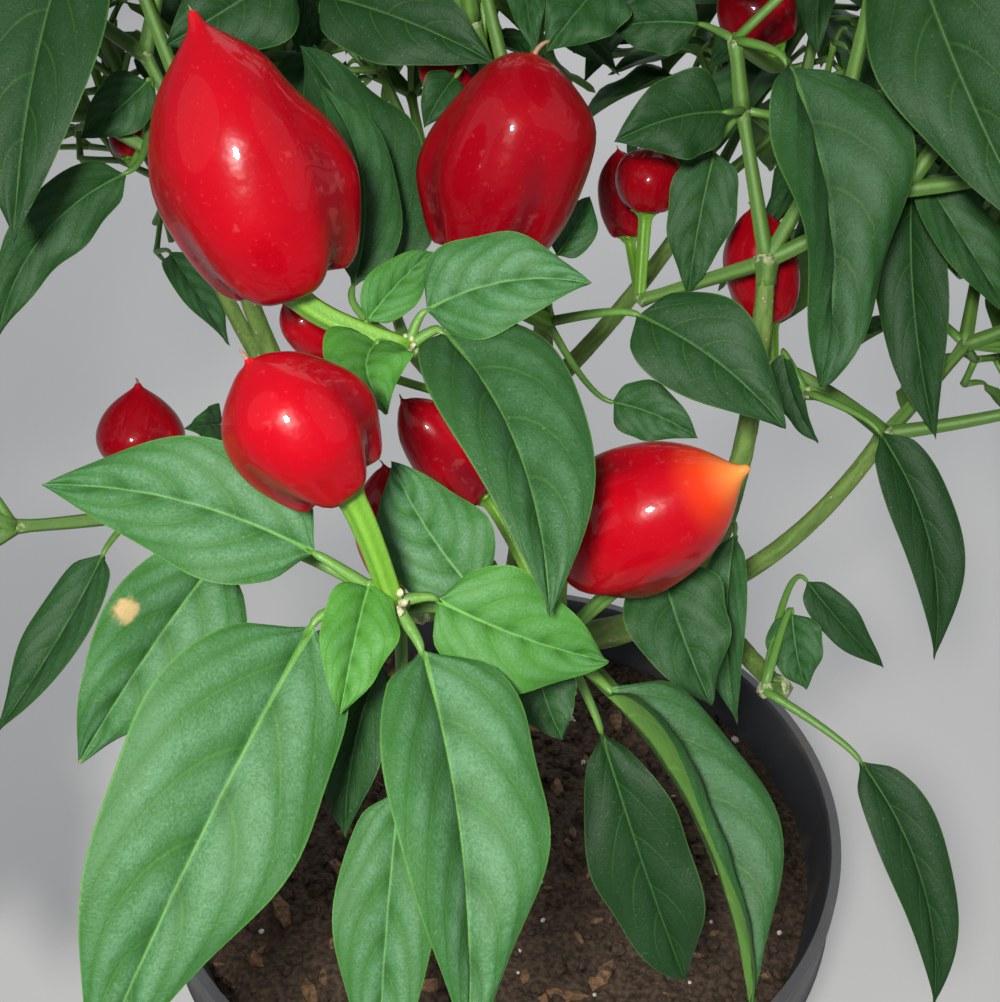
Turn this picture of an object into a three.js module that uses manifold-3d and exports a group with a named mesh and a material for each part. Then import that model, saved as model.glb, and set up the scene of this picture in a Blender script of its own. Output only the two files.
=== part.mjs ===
// A fruiting chilli pepper plant in a round plastic pot, in millimetres, +Z up.
// The origin is the centre of the pot's flat underside. The side towards -Y is the side of the photograph.
import * as THREE from "three";
import { mergeVertices } from "three/addons/utils/BufferGeometryUtils.js";
import Module from "manifold-3d";

const wasm = await Module();
wasm.setup();

// Driving dimensions
const CLEAR = 0.3;
const COLLAR = 3.5;
const FUSE_TOLERANCES = [0.25, 0.21, 0.17, 0.13, 0.09, 0.05, 0.02];
const POT = { height: 140, footRadius: 64, wallTopRadius: 84, rimRadius: 90, rimHeight: 22, wall: 2.4, floor: 3 };
const SOIL = { top: 124, sides: 24 };
const TRUNK = { flare: 11, foot: 7, top: 5.6, forkAt: [3, 4, 194], lean: 5 };
const LIMB = { sides: 6, steps: 4, knob: 4.8, trunkKnob: 7.4 };
const TWIG = { radius: 1.7, tipRadius: 1.2, petiole: 0.95 };
const LEAF = { thick: 1.1, lead: 0.22, neck: 0.03, bendAt: 0.88, large: [0.2, 0.45, 0.76], plain: [0.36] };
const STALK = { radius: 1.7, calyx: 4.2, calyxShare: 0.2, thinShare: 0.1, bow: 0.22 };
const CROWN = { low: 168, high: 408, radius: 182 };
const SPRAY = { clear: 4.6, leafGap: 15, twigClear: 3.4, fruitClear: 1.6, fruitChance: 0.62, fruitMost: 14 };

// The photograph's eye: its place, how far it looks down, its focal length in pixels and the picture's middle.
// A place given as [across, down, depth] is where it shows in the 1000 x 1002 picture and its depth in mm.
const EYE = { place: [0, -241, 407], down: 35, focal: 1300, middle: [500, 501], frame: [1000, 1002] };

const eyePlace = new THREE.Vector3(...EYE.place);
const eyeTilt = THREE.MathUtils.degToRad(EYE.down);
const eyeForward = new THREE.Vector3(0, Math.cos(eyeTilt), -Math.sin(eyeTilt));
const eyeUp = new THREE.Vector3(0, Math.sin(eyeTilt), Math.cos(eyeTilt));
const UP = new THREE.Vector3(0, 0, 1);

function seen([across, down, depth]) {
  const right = ((across - EYE.middle[0]) / EYE.focal) * depth;
  const rise = ((EYE.middle[1] - down) / EYE.focal) * depth;
  const place = eyePlace.clone().addScaledVector(eyeForward, depth).addScaledVector(eyeUp, rise);
  place.x += right;
  return place;
}

function showsAt(point) {
  const away = point.clone().sub(eyePlace);
  const depth = away.dot(eyeForward);
  const across = EYE.middle[0] + (EYE.focal * away.x) / depth;
  const down = EYE.middle[1] - (EYE.focal * away.dot(eyeUp)) / depth;
  return { across, down, depth };
}

// A seeded dice: the same throws every time.
class Dice {
  constructor(seed) {
    this.state = seed;
  }
  next() {
    this.state = (this.state * 16807) % 2147483647;
    return this.state / 2147483647;
  }
  between(low, high) {
    return low + (high - low) * this.next();
  }
}

// Small vector helpers
const vector = (x, y, z) => new THREE.Vector3(x, y, z);
const radians = THREE.MathUtils.degToRad;

function across(direction) {
  const guide = Math.abs(direction.z) < 0.9 ? UP : vector(1, 0, 0);
  return guide.clone().cross(direction).normalize();
}

function squareTo(guide, direction) {
  return guide.clone().addScaledVector(direction, -guide.dot(direction)).normalize();
}

function bend(start, middle, end) {
  return new THREE.QuadraticBezierCurve3(start, middle, end);
}

// Solids
function solidOf(geometry) {
  const bare = geometry.index ? geometry.toNonIndexed() : geometry.clone();
  bare.deleteAttribute("normal");
  bare.deleteAttribute("uv");
  const merged = mergeVertices(bare, 1e-4);
  const vertProperties = merged.attributes.position.array;
  const triVerts = new Uint32Array(merged.index.array);
  return new wasm.Manifold(new wasm.Mesh({ numProp: 3, vertProperties, triVerts }));
}

function geometryOf(solid) {
  const mesh = solid.getMesh();
  const geometry = new THREE.BufferGeometry();
  geometry.setAttribute("position", new THREE.BufferAttribute(mesh.vertProperties, 3));
  geometry.setIndex(new THREE.BufferAttribute(mesh.triVerts, 1));
  return geometry;
}

// Rings of equal corner counts joined into one closed body. A ring of one corner is a point.
function ringBody(rings) {
  const corners = [];
  const faces = [];
  const starts = rings.map((ring) => {
    const start = corners.length;
    corners.push(...ring);
    return start;
  });
  for (let i = 0; i + 1 < rings.length; i += 1) {
    const sides = Math.max(rings[i].length, rings[i + 1].length);
    for (let k = 0; k < sides; k += 1) {
      const a = starts[i] + (k % rings[i].length);
      const b = starts[i] + ((k + 1) % rings[i].length);
      const c = starts[i + 1] + (k % rings[i + 1].length);
      const d = starts[i + 1] + ((k + 1) % rings[i + 1].length);
      if (a !== b) faces.push(a, b, d);
      if (c !== d) faces.push(a, d, c);
    }
  }
  const last = rings.length - 1;
  for (let k = 1; k + 1 < rings[0].length; k += 1) faces.push(starts[0], starts[0] + k + 1, starts[0] + k);
  for (let k = 1; k + 1 < rings[last].length; k += 1) faces.push(starts[last], starts[last] + k, starts[last] + k + 1);
  const geometry = new THREE.BufferGeometry().setFromPoints(corners);
  geometry.setIndex(faces);
  return geometry;
}

function tube(curve, sides, steps, radiusAt) {
  const rings = [];
  let side = across(curve.getTangent(0));
  for (let i = 0; i <= steps; i += 1) {
    const t = i / steps;
    const along = curve.getTangent(t);
    side = squareTo(side, along);
    const other = along.clone().cross(side);
    const middle = curve.getPoint(t);
    const ring = [];
    for (let k = 0; k < sides; k += 1) {
      const angle = (2 * Math.PI * k) / sides;
      const out = side.clone().multiplyScalar(Math.cos(angle)).addScaledVector(other, Math.sin(angle));
      ring.push(middle.clone().addScaledVector(out, radiusAt(t)));
    }
    rings.push(ring);
  }
  return ringBody(rings);
}

// True when every edge still joins two faces once corners that lie together are taken as one
function closesWell(solid) {
  const mesh = solid.getMesh();
  const corner = (k) => {
    const place = mesh.vertProperties.subarray(3 * k, 3 * k + 3);
    return Array.from(place, (value) => Math.round(value * 1000)).join(" ");
  };
  const edges = new Map();
  for (let i = 0; i < mesh.triVerts.length; i += 3) {
    const face = [0, 1, 2].map((k) => corner(mesh.triVerts[i + k]));
    if (new Set(face).size < 3) continue;
    face.forEach((from, k) => {
      const edge = [from, face[(k + 1) % 3]].sort().join("/");
      edges.set(edge, (edges.get(edge) ?? 0) + 1);
    });
  }
  return [...edges.values()].every((count) => count === 2);
}

// Many solids fused into one body: faces smaller than a tolerance close up, and a loose scrap is dropped
function joined(solids) {
  let whole = solids[0];
  for (const solid of solids.slice(1)) whole = whole.add(solid);
  for (const tolerance of FUSE_TOLERANCES) {
    const bodies = whole.asOriginal().simplify(tolerance).decompose();
    bodies.sort((a, b) => b.volume() - a.volume());
    if (closesWell(bodies[0])) return bodies[0];
  }
  return whole;
}

// What is already in the crown, as balls that a new leaf keeps clear of
const taken = [];

function take(owner, place, radius) {
  taken.push({ owner, place, radius });
}

function takeCurve(owner, curve, radius) {
  const steps = Math.max(2, Math.ceil(curve.getLength() / 5));
  for (let i = 0; i <= steps; i += 1) take(owner, curve.getPoint(i / steps), radius);
}

function isClear(owner, points, gap, ownGap) {
  return points.every((point) =>
    taken.every((ball) => {
      const room = ball.owner === owner ? ownGap : gap;
      return room === 0 || point.distanceTo(ball.place) > ball.radius + room;
    }),
  );
}

// A leaf: a petiole from its root, then a blade that is ovate with a drawn-out tip, folded along its midrib.
// The face turns to the eye and is then rolled about its length; the midrib bows sideways and arches outwards.
function leafPlan({ root, blade, tip, wide, bow = 0, arch = 4, roll = 0, fold = 18, facing = null }) {
  const chord = tip.clone().sub(blade);
  const middle = blade.clone().addScaledVector(chord, 0.5);
  const along = chord.clone().normalize();
  const towards = facing ? facing.clone() : eyePlace.clone().sub(middle);
  const flat = squareTo(towards, along);
  const face = flat.applyAxisAngle(along, radians(roll));
  const side = along.clone().cross(face);
  const elbow = middle.clone().addScaledVector(side, bow).addScaledVector(face, arch);
  const midrib = bend(blade, elbow, tip);
  const lead = blade.clone().sub(elbow).normalize();
  const reach = blade.distanceTo(root);
  const petiole = bend(root, blade.clone().addScaledVector(lead, reach * LEAF.lead), blade);
  return { midrib, petiole, face, wide, fold: radians(fold) };
}

const LEAF_BASE = 0.62;
const LEAF_TIP = 1.12;
const LEAF_WIDEST = LEAF_BASE / (LEAF_BASE + LEAF_TIP);
const LEAF_SCALE = LEAF_WIDEST ** LEAF_BASE * (1 - LEAF_WIDEST) ** LEAF_TIP;

function leafHalfWidth(plan, s) {
  return (plan.wide / 2) * ((s ** LEAF_BASE * (1 - s) ** LEAF_TIP) / LEAF_SCALE);
}

function leafPoint(plan, s, t) {
  const along = plan.midrib.getTangent(s);
  const face = squareTo(plan.face, along);
  const side = along.clone().cross(face);
  const reach = leafHalfWidth(plan, s) * Math.abs(t);
  return plan.midrib
    .getPoint(s)
    .addScaledVector(side, Math.sign(t) * reach * Math.cos(plan.fold))
    .addScaledVector(face, reach * Math.sin(plan.fold));
}

// Places all over the blade, by which the rule tells whether a leaf touches something
const TRY_ALONG = [0.05, 0.2, 0.35, 0.5, 0.65, 0.8, 0.97];
const TRY_ACROSS = [-0.85, -0.4, 0, 0.4, 0.85];

function leafSamples(plan) {
  return TRY_ALONG.flatMap((s) => TRY_ACROSS.map((t) => leafPoint(plan, s, t)));
}

// A leaf is one closed body: a four-sided petiole that opens into the folded blade
function leafSolid(plan, stations) {
  const rings = [];
  const bendsAt = stations.length > 1 ? [0, LEAF.bendAt] : [0];
  for (const t of bendsAt) {
    rings.push(leafRing(plan, plan.petiole.getPoint(t), plan.petiole.getTangent(t), TWIG.petiole, TWIG.petiole));
  }
  for (const s of [LEAF.neck, ...stations]) {
    rings.push(leafRing(plan, plan.midrib.getPoint(s), plan.midrib.getTangent(s), LEAF.thick / 2, 0, s));
  }
  rings.push([plan.midrib.getPoint(1)]);
  return solidOf(ringBody(rings));
}

function leafRing(plan, spine, along, rise, reach, s = null) {
  const face = squareTo(plan.face, along);
  const side = along.clone().cross(face);
  const over = spine.clone().addScaledVector(face, rise);
  const under = spine.clone().addScaledVector(face, -rise);
  if (s !== null) return [over, leafPoint(plan, s, 1), under, leafPoint(plan, s, -1)];
  return [over, spine.clone().addScaledVector(side, reach), under, spine.clone().addScaledVector(side, -reach)];
}

// A fruit: blunt or pointed, from its calyx to its tip, erect on a ridged stalk that widens into the calyx
function fruitPlan({ root, base, tip, wide, blunt = 0.55, shoulder = 0.4 }) {
  const axis = tip.clone().sub(base);
  const length = axis.length();
  axis.normalize();
  const knee = base.clone().addScaledVector(axis, -STALK.bow * base.distanceTo(root));
  return { root, base, tip, axis, length, wide, blunt, shoulder, stalk: bend(root, knee, base) };
}

function fruitRadius(plan, a) {
  const widest = plan.shoulder / (plan.shoulder + plan.blunt);
  const scale = widest ** plan.shoulder * (1 - widest) ** plan.blunt;
  return ((plan.wide / 2) * (a ** plan.shoulder * (1 - a) ** plan.blunt)) / scale;
}

const FRUIT_FACES = { large: [10, [0.02, 0.1, 0.24, 0.42, 0.62, 0.8, 0.93]], small: [7, [0.03, 0.2, 0.5, 0.82]] };

function fruitSolid(plan) {
  const start = plan.base.clone().addScaledVector(plan.axis, CLEAR);
  const spine = new THREE.LineCurve3(start, plan.tip);
  const profile = [new THREE.Vector2(0, 0)];
  const [sides, stations] = plan.wide > 20 ? FRUIT_FACES.large : FRUIT_FACES.small;
  for (const a of stations) profile.push(new THREE.Vector2(fruitRadius(plan, a), a * spine.getLength()));
  profile.push(new THREE.Vector2(0, spine.getLength()));
  const body = new THREE.LatheGeometry(profile, sides);
  const turn = new THREE.Quaternion().setFromUnitVectors(vector(0, 1, 0), plan.axis);
  body.applyQuaternion(turn);
  body.translate(start.x, start.y, start.z);
  return solidOf(body);
}

function stalkSolid(plan) {
  const reach = plan.stalk.getLength();
  const calyxFrom = 1 - Math.min(0.45, STALK.calyx / reach / 1.6);
  const wide = Math.min(STALK.calyx, plan.wide * STALK.calyxShare);
  const thin = Math.min(STALK.radius, plan.wide * STALK.thinShare);
  const radiusAt = (t) => (t < calyxFrom ? thin : thin + ((wide - thin) * (t - calyxFrom)) / (1 - calyxFrom));
  return solidOf(tube(plan.stalk, plan.wide > 20 ? 6 : 4, plan.wide > 20 ? 4 : 3, radiusAt));
}

// Balls that fill a fruit, by which it is kept apart from the rest
const BALLS_AT = [0.12, 0.35, 0.6, 0.85];

function fruitSamples(plan) {
  return BALLS_AT.map((a) => {
    return { place: plan.base.clone().addScaledVector(plan.axis, a * plan.length), radius: fruitRadius(plan, a) };
  });
}

// The pot: a tapered wall with a stepped rim, standing on a flat underside
function potSolid() {
  const { height, footRadius, wallTopRadius, rimRadius, rimHeight, wall, floor } = POT;
  const step = height - rimHeight;
  const points = [
    [0, 0],
    [footRadius - 2, 0],
    [footRadius, 2],
    [wallTopRadius, step],
    [rimRadius - 1, step],
    [rimRadius, step + 1],
    [rimRadius, height - 2],
    [rimRadius - 1, height],
    [rimRadius - wall, height],
    [rimRadius - wall - 1, height - 3],
    [wallTopRadius - wall + 1, step],
    [footRadius - wall, floor],
    [0, floor],
  ];
  const profile = points.map(([r, z]) => new THREE.Vector2(r, z));
  return solidOf(new THREE.LatheGeometry(profile, SOIL.sides).rotateX(Math.PI / 2));
}

// The potting mix: it fills the pot to just under the rim
function soilSolid() {
  const { height, footRadius, wallTopRadius, rimRadius, rimHeight, wall, floor } = POT;
  const step = height - rimHeight;
  const gap = 0.6;
  const atTop = wallTopRadius - wall + 1 + ((rimRadius - wallTopRadius - 2) * (SOIL.top - 1 - step)) / (rimHeight - 3);
  const points = [
    [0, floor + gap],
    [footRadius - wall - gap, floor + gap],
    [wallTopRadius - wall + 1 - gap, step],
    [atTop - gap, SOIL.top - 1.5],
    [atTop - 7, SOIL.top],
    [0, SOIL.top],
  ];
  const profile = points.map(([r, z]) => new THREE.Vector2(r, z));
  return solidOf(new THREE.LatheGeometry(profile, SOIL.sides).rotateX(Math.PI / 2));
}

// Limbs: a leaning trunk, then boughs that each start clear of the knob they fork from
const fork = vector(...TRUNK.forkAt);

function trunkSolid() {
  const foot = vector(0, 0, SOIL.top + CLEAR);
  const middle = vector(-TRUNK.lean, 2, (SOIL.top + fork.z) / 2);
  const stem = bend(foot, middle, fork);
  const flareTo = 0.22;
  const radiusAt = (t) => {
    const taper = TRUNK.foot + (TRUNK.top - TRUNK.foot) * t;
    return t < flareTo ? taper + (TRUNK.flare - TRUNK.foot) * (1 - t / flareTo) ** 2 : taper;
  };
  takeCurve("trunk", stem, TRUNK.top);
  const knob = solidOf(new THREE.SphereGeometry(LIMB.trunkKnob, 8, 6).translate(fork.x, fork.y, fork.z));
  const body = solidOf(tube(stem, 10, 9, radiusAt)).add(knob);
  const ground = solidOf(new THREE.BoxGeometry(80, 80, 40).translate(0, 0, SOIL.top + CLEAR - 20));
  return body.subtract(ground);
}

// Each bough: where it starts, where it ends, how far it sags sideways, and its two radii
const BOUGHS = {
  bough_front: { from: "trunk", to: [-4, -26, 238], bow: [0, -6, -3], radii: [3.9, 3.3] },
  bough_right: { from: "trunk", to: [44, -14, 222], bow: [6, -4, -5], radii: [4.0, 3.3] },
  bough_left: { from: "trunk", to: [-42, 22, 236], bow: [-6, 0, -4], radii: [3.9, 3.3] },
  bough_back: { from: "trunk", to: [10, 44, 240], bow: [0, 6, -3], radii: [3.8, 3.2] },
  limb_front_low: { from: "bough_front", to: [-13, -74, 268], bow: [-3, -5, -3], radii: [2.7, 2.1] },
  limb_front_high: { from: "bough_front", to: [-9, -36, 284], bow: [-4, 2, 0], radii: [2.7, 2.1] },
  limb_front_right: { from: "bough_front", to: [15, -57, 243], bow: [6, 1, -4], radii: [2.5, 2.0] },
  limb_right_low: { from: "bough_right", to: [55, -46, 226], bow: [3, -3, -3], radii: [2.6, 2.0] },
  limb_right_high: { from: "bough_right", to: [55, 6, 290], bow: [6, -3, 0], radii: [2.8, 2.1] },
  limb_right_side: { from: "bough_right", to: [84, 4, 250], bow: [6, 4, -12], radii: [2.5, 2.0] },
  limb_left_high: { from: "bough_left", to: [-60, 24, 300], bow: [-6, 0, 0], radii: [2.7, 2.0] },
  limb_left_low: { from: "bough_left", to: [-72, -12, 244], bow: [-2, -4, -5], radii: [2.6, 2.0] },
  limb_left_back: { from: "bough_left", to: [-72, 60, 266], bow: [-3, 3, -4], radii: [2.6, 2.0] },
  limb_back_right: { from: "bough_back", to: [52, 82, 276], bow: [3, 3, -5], radii: [2.6, 2.0] },
  limb_back_left: { from: "bough_back", to: [-18, 92, 276], bow: [-2, 4, -5], radii: [2.6, 2.0] },
  limb_top: { from: "bough_back", to: [6, 22, 306], bow: [4, 2, 0], radii: [2.7, 2.0] },
};

function boughPlans() {
  const ends = { trunk: { place: fork, knob: LIMB.trunkKnob } };
  const plans = {};
  for (const [name, { from, to, bow, radii }] of Object.entries(BOUGHS)) {
    const carrier = ends[from];
    const end = vector(...to);
    const middle = carrier.place.clone().lerp(end, 0.5).add(vector(...bow));
    const lead = middle.clone().sub(carrier.place).normalize();
    const start = carrier.place.clone().addScaledVector(lead, carrier.knob + CLEAR);
    const forks = Object.values(BOUGHS).some((other) => other.from === name);
    plans[name] = { curve: bend(start, middle, end), radii, knob: forks ? LIMB.knob : 0 };
    ends[name] = { place: end, knob: LIMB.knob };
    takeCurve(name, plans[name].curve, radii[0]);
  }
  return plans;
}

function boughSolid({ curve, radii, knob }) {
  const limb = solidOf(tube(curve, LIMB.sides, LIMB.steps, (t) => radii[0] + (radii[1] - radii[0]) * t));
  if (knob === 0) return limb;
  const end = curve.getPoint(1);
  return limb.add(solidOf(new THREE.SphereGeometry(knob, 6, 5).translate(end.x, end.y, end.z)));
}

const boughs = boughPlans();

// The masses: each grows from its bough's tip. Its twigs run through the given places, and each leaf and fruit
// that the photograph shows is placed by where it shows. A spray adds leaves by the seeded rule.
class Mass {
  constructor(name, bough) {
    this.name = name;
    this.solids = [];
    this.fruits = [];
    this.middles = [];
    const { curve, radii } = boughs[bough];
    const heading = curve.getTangent(1);
    const foot = curve.getPoint(1).addScaledVector(heading, CLEAR);
    this.start = foot.clone().addScaledVector(heading, COLLAR);
    this.solids.push(solidOf(tube(new THREE.LineCurve3(foot, this.start), 6, 1, () => radii[1])));
    takeCurve(name, new THREE.LineCurve3(foot, this.start), radii[1]);
  }
  twig(from, to, sag = 0, steps = 2) {
    const radius = TWIG.radius;
    const middle = from.clone().lerp(to, 0.5);
    middle.z -= sag;
    const curve = bend(from, middle, to);
    takeCurve(this.name, curve, radius);
    this.solids.push(solidOf(tube(curve, 3, steps, (t) => radius + (TWIG.tipRadius - radius) * t)));
    return to;
  }
  leaf(root, spec) {
    const plan = leafPlan({ ...spec, root, blade: seen(spec.blade), tip: seen(spec.tip) });
    this.add(plan, spec.wide > 13 ? LEAF.large : LEAF.plain);
    return plan;
  }
  add(plan, stations) {
    for (const point of leafSamples(plan)) take(this.name, point, 0);
    takeCurve(this.name, plan.petiole, TWIG.petiole);
    this.solids.push(leafSolid(plan, stations));
    this.middles.push(plan.midrib.getPoint(0.5));
  }
  fruit(name, root, spec) {
    const plan = fruitPlan({ ...spec, root, base: seen(spec.base), tip: seen(spec.tip) });
    this.hang(name, plan);
  }
  hang(name, plan) {
    for (const { place, radius } of fruitSamples(plan)) take(name, place, radius);
    takeCurve(this.name, plan.stalk, STALK.radius);
    this.solids.push(stalkSolid(plan));
    this.fruits.push({ name, plan });
  }
}

const masses = [];

function mass(name, bough) {
  const made = new Mass(name, bough);
  masses.push(made);
  return made;
}

function frontLow() {
  const m = mass("foliage_front_low", "limb_front_low");
  const back = m.twig(m.start, seen([400, 606, 206]));
  const node = m.twig(back, seen([393, 603, 183]));
  m.leaf(node, { blade: [318, 555, 186], tip: [41, 485, 187], wide: 19.5, bow: 5, arch: 5, roll: 6, fold: 10 });
  m.leaf(node, { blade: [315, 621, 180], tip: [88, 1085, 163], wide: 28, bow: 3, arch: 7, roll: -8, fold: 11 });
  m.leaf(node, { blade: [420, 646, 180], tip: [468, 1050, 166], wide: 26, bow: -2, arch: 7, roll: -26, fold: 27 });
  m.leaf(node, { blade: [434, 598, 184], tip: [609, 661, 190], wide: 17.5, bow: 2, arch: 4, roll: 0, fold: 10 });
  m.leaf(node, { blade: [369, 584, 181], tip: [340, 716, 173], wide: 11.5, bow: 1, arch: 3, roll: -10, fold: 22 });
  m.leaf(back, { blade: [226, 548, 205], tip: [78, 765, 199], wide: 22, bow: 3, arch: 5, roll: -16, fold: 20 });
  m.leaf(back, { blade: [382, 660, 196], tip: [345, 838, 197], wide: 12, bow: 2, arch: 3, roll: 20, fold: 20 });
  m.leaf(back, { blade: [400, 786, 202], tip: [378, 1090, 196], wide: 16.5, bow: 1, arch: 5, roll: 0, fold: 12 });
  m.leaf(back, { blade: [478, 596, 199], tip: [391, 461, 205], wide: 17, bow: -2, arch: 4, roll: 0, fold: 10 });
  m.fruit("fruit_front_round", node, { base: [346, 489, 174], tip: [248, 360, 166], wide: 19.5, blunt: 0.4 });
  m.fruit("fruit_inner_low", back, { base: [398, 582, 215], tip: [384, 466, 211], wide: 12, blunt: 0.5 });
  return m;
}

function frontHigh() {
  const m = mass("foliage_front_high", "limb_front_high");
  const node = m.twig(m.start, seen([408, 347, 205]));
  m.leaf(node, { blade: [440, 330, 203], tip: [550, 618, 178], wide: 26, bow: -6, arch: 8, roll: -26, fold: 28 });
  m.leaf(node, { blade: [424, 312, 203], tip: [592, 283, 199], wide: 17, bow: -4, arch: 4, roll: -18, fold: 10 });
  m.leaf(node, { blade: [366, 322, 203], tip: [433, 251, 210], wide: 9, bow: -1, arch: 2, roll: 0, fold: 20 });
  m.leaf(node, { blade: [378, 342, 202], tip: [388, 414, 190], wide: 15, bow: 5, arch: 3, roll: -10, fold: 22 });
  m.leaf(node, { blade: [352, 290, 216], tip: [314, 78, 230], wide: 13, bow: 9, arch: 6, roll: 20, fold: 20 });
  m.leaf(node, { blade: [392, 285, 230], tip: [300, 45, 248], wide: 22, bow: 7, arch: 4, roll: 10, fold: 15 });
  m.fruit("fruit_front_large", node, { base: [296, 291, 199], tip: [192, 12, 182], wide: 28.5, blunt: 0.66 });
  m.fruit("fruit_inner_small", m.start, { base: [336, 352, 226], tip: [284, 305, 218], wide: 9, blunt: 0.5 });
  return m;
}

function frontRight() {
  const m = mass("foliage_front_right", "limb_front_right");
  const back = m.twig(m.start, seen([560, 640, 232]));
  const node = m.twig(back, seen([577, 662, 214]));
  m.leaf(node, { blade: [608, 688, 204], tip: [753, 1008, 184], wide: 26, bow: -4, arch: 8, roll: -52, fold: 50 });
  m.leaf(back, { blade: [600, 728, 232], tip: [685, 980, 238], wide: 19, bow: 1, arch: 4, roll: 0, fold: 16 });
  m.leaf(back, { blade: [660, 562, 238], tip: [712, 706, 232], wide: 20, bow: 2, arch: 4, roll: -10, fold: 20 });
  m.leaf(back, { blade: [735, 532, 250], tip: [737, 725, 254], wide: 11, bow: 2, arch: 4, roll: 30, fold: 20 });
  m.leaf(node, { blade: [538, 668, 210], tip: [563, 740, 207], wide: 11, bow: 1, arch: 2, roll: 0, fold: 14 });
  m.fruit("fruit_front_right", back, { base: [568, 552, 224], tip: [748, 468, 206], wide: 25, blunt: 0.72 });
  m.fruit("fruit_inner_long", back, { base: [486, 498, 238], tip: [402, 400, 228], wide: 13, blunt: 0.5 });
  return m;
}

function middleHigh() {
  const m = mass("foliage_middle", "limb_top");
  const node = m.twig(m.start, seen([548, 322, 244]), 4);
  const top = m.twig(m.start, seen([480, -30, 262]));
  m.leaf(node, { blade: [636, 314, 236], tip: [786, 429, 228], wide: 20, bow: -3, arch: 5, roll: -14, fold: 14 });
  m.leaf(node, { blade: [612, 402, 258], tip: [698, 438, 254], wide: 12, bow: -2, arch: 3, roll: 0, fold: 12 });
  m.leaf(node, { blade: [556, 256, 240], tip: [590, 196, 242], wide: 9, bow: 1, arch: 2, roll: 0, fold: 20 });
  m.leaf(top, { blade: [318, -6, 256], tip: [497, 64, 250], wide: 20, bow: -2, arch: 4, roll: -10, fold: 12 });
  m.leaf(top, { blade: [525, -30, 258], tip: [536, 54, 252], wide: 8, bow: 1, arch: 3, roll: 0, fold: 20 });
  m.leaf(top, { blade: [610, -24, 260], tip: [546, 52, 255], wide: 18, bow: 1, arch: 3, roll: 0, fold: 16 });
  m.leaf(top, { blade: [456, 76, 257], tip: [424, 128, 255], wide: 9, bow: 1, arch: 3, roll: 0, fold: 16 });
  m.fruit("fruit_middle_large", node, { base: [478, 262, 228], tip: [534, 55, 212], wide: 27.5, blunt: 0.38 });
  m.fruit("fruit_middle_high", top, { base: [470, 92, 270], tip: [420, 62, 264], wide: 9, blunt: 0.5 });
  return m;
}

function rightHigh() {
  const m = mass("foliage_right_high", "limb_right_high");
  const low = m.twig(m.start, seen([742, 110, 262]));
  const node = m.twig(low, seen([735, 40, 256]));
  const inner = m.twig(m.start, seen([640, 300, 284]));
  m.leaf(node, { blade: [785, 60, 248], tip: [820, 388, 250], wide: 33, bow: -7, arch: 8, roll: -34, fold: 36 });
  m.leaf(low, { blade: [726, 112, 254], tip: [614, 142, 250], wide: 17, bow: 3, arch: 3, roll: 0, fold: 12 });
  m.leaf(node, { blade: [700, 24, 262], tip: [606, 30, 268], wide: 13, bow: 2, arch: 3, roll: 0, fold: 12 });
  m.leaf(low, { blade: [715, 150, 268], tip: [688, 296, 276], wide: 15, bow: 1, arch: 4, roll: 0, fold: 16 });
  m.leaf(node, { blade: [905, -80, 236], tip: [1040, 240, 226], wide: 26, bow: 3, arch: 6, roll: 0, fold: 16 });
  m.leaf(low, { blade: [912, 186, 278], tip: [936, 440, 282], wide: 17, bow: 3, arch: 5, roll: 10, fold: 22 });
  m.leaf(low, { blade: [920, 170, 268], tip: [1015, 320, 272], wide: 15, bow: 3, arch: 5, roll: -30, fold: 22 });
  m.fruit("fruit_right_small", inner, { base: [646, 214, 282], tip: [652, 146, 277], wide: 15, blunt: 0.42 });
  m.fruit("fruit_right_back", inner, { base: [630, 240, 302], tip: [618, 150, 296], wide: 12, blunt: 0.5 });
  m.fruit("fruit_right_high", node, { base: [775, 50, 292], tip: [735, -30, 285], wide: 17, blunt: 0.5 });
  return m;
}

function rightLow() {
  const m = mass("foliage_right_low", "limb_right_low");
  const node = m.twig(m.start, seen([764, 690, 254]));
  m.leaf(node, { blade: [858, 758, 248], tip: [934, 1008, 244], wide: 14, bow: -8, arch: 6, roll: -16, fold: 24 });
  m.leaf(node, { blade: [792, 612, 262], tip: [806, 690, 262], wide: 12, bow: 1, arch: 3, roll: 0, fold: 22 });
  m.leaf(node, { blade: [806, 580, 270], tip: [884, 668, 272], wide: 9, bow: 1, arch: 3, roll: 0, fold: 22 });
  return m;
}

function rightSide() {
  const m = mass("foliage_right_side", "limb_right_side");
  const node = m.twig(m.start, seen([806, 392, 278]), -4);
  const back = m.twig(m.start, seen([772, 362, 296]), -3);
  m.leaf(node, { blade: [878, 430, 268], tip: [934, 661, 270], wide: 14.5, bow: -8, arch: 6, roll: -16, fold: 24 });
  m.leaf(node, { blade: [782, 352, 282], tip: [818, 444, 284], wide: 9, bow: 1, arch: 3, roll: 40, fold: 22 });
  m.fruit("fruit_right_dark", back, { base: [770, 322, 294], tip: [752, 208, 284], wide: 17, blunt: 0.5 });
  return m;
}

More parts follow.
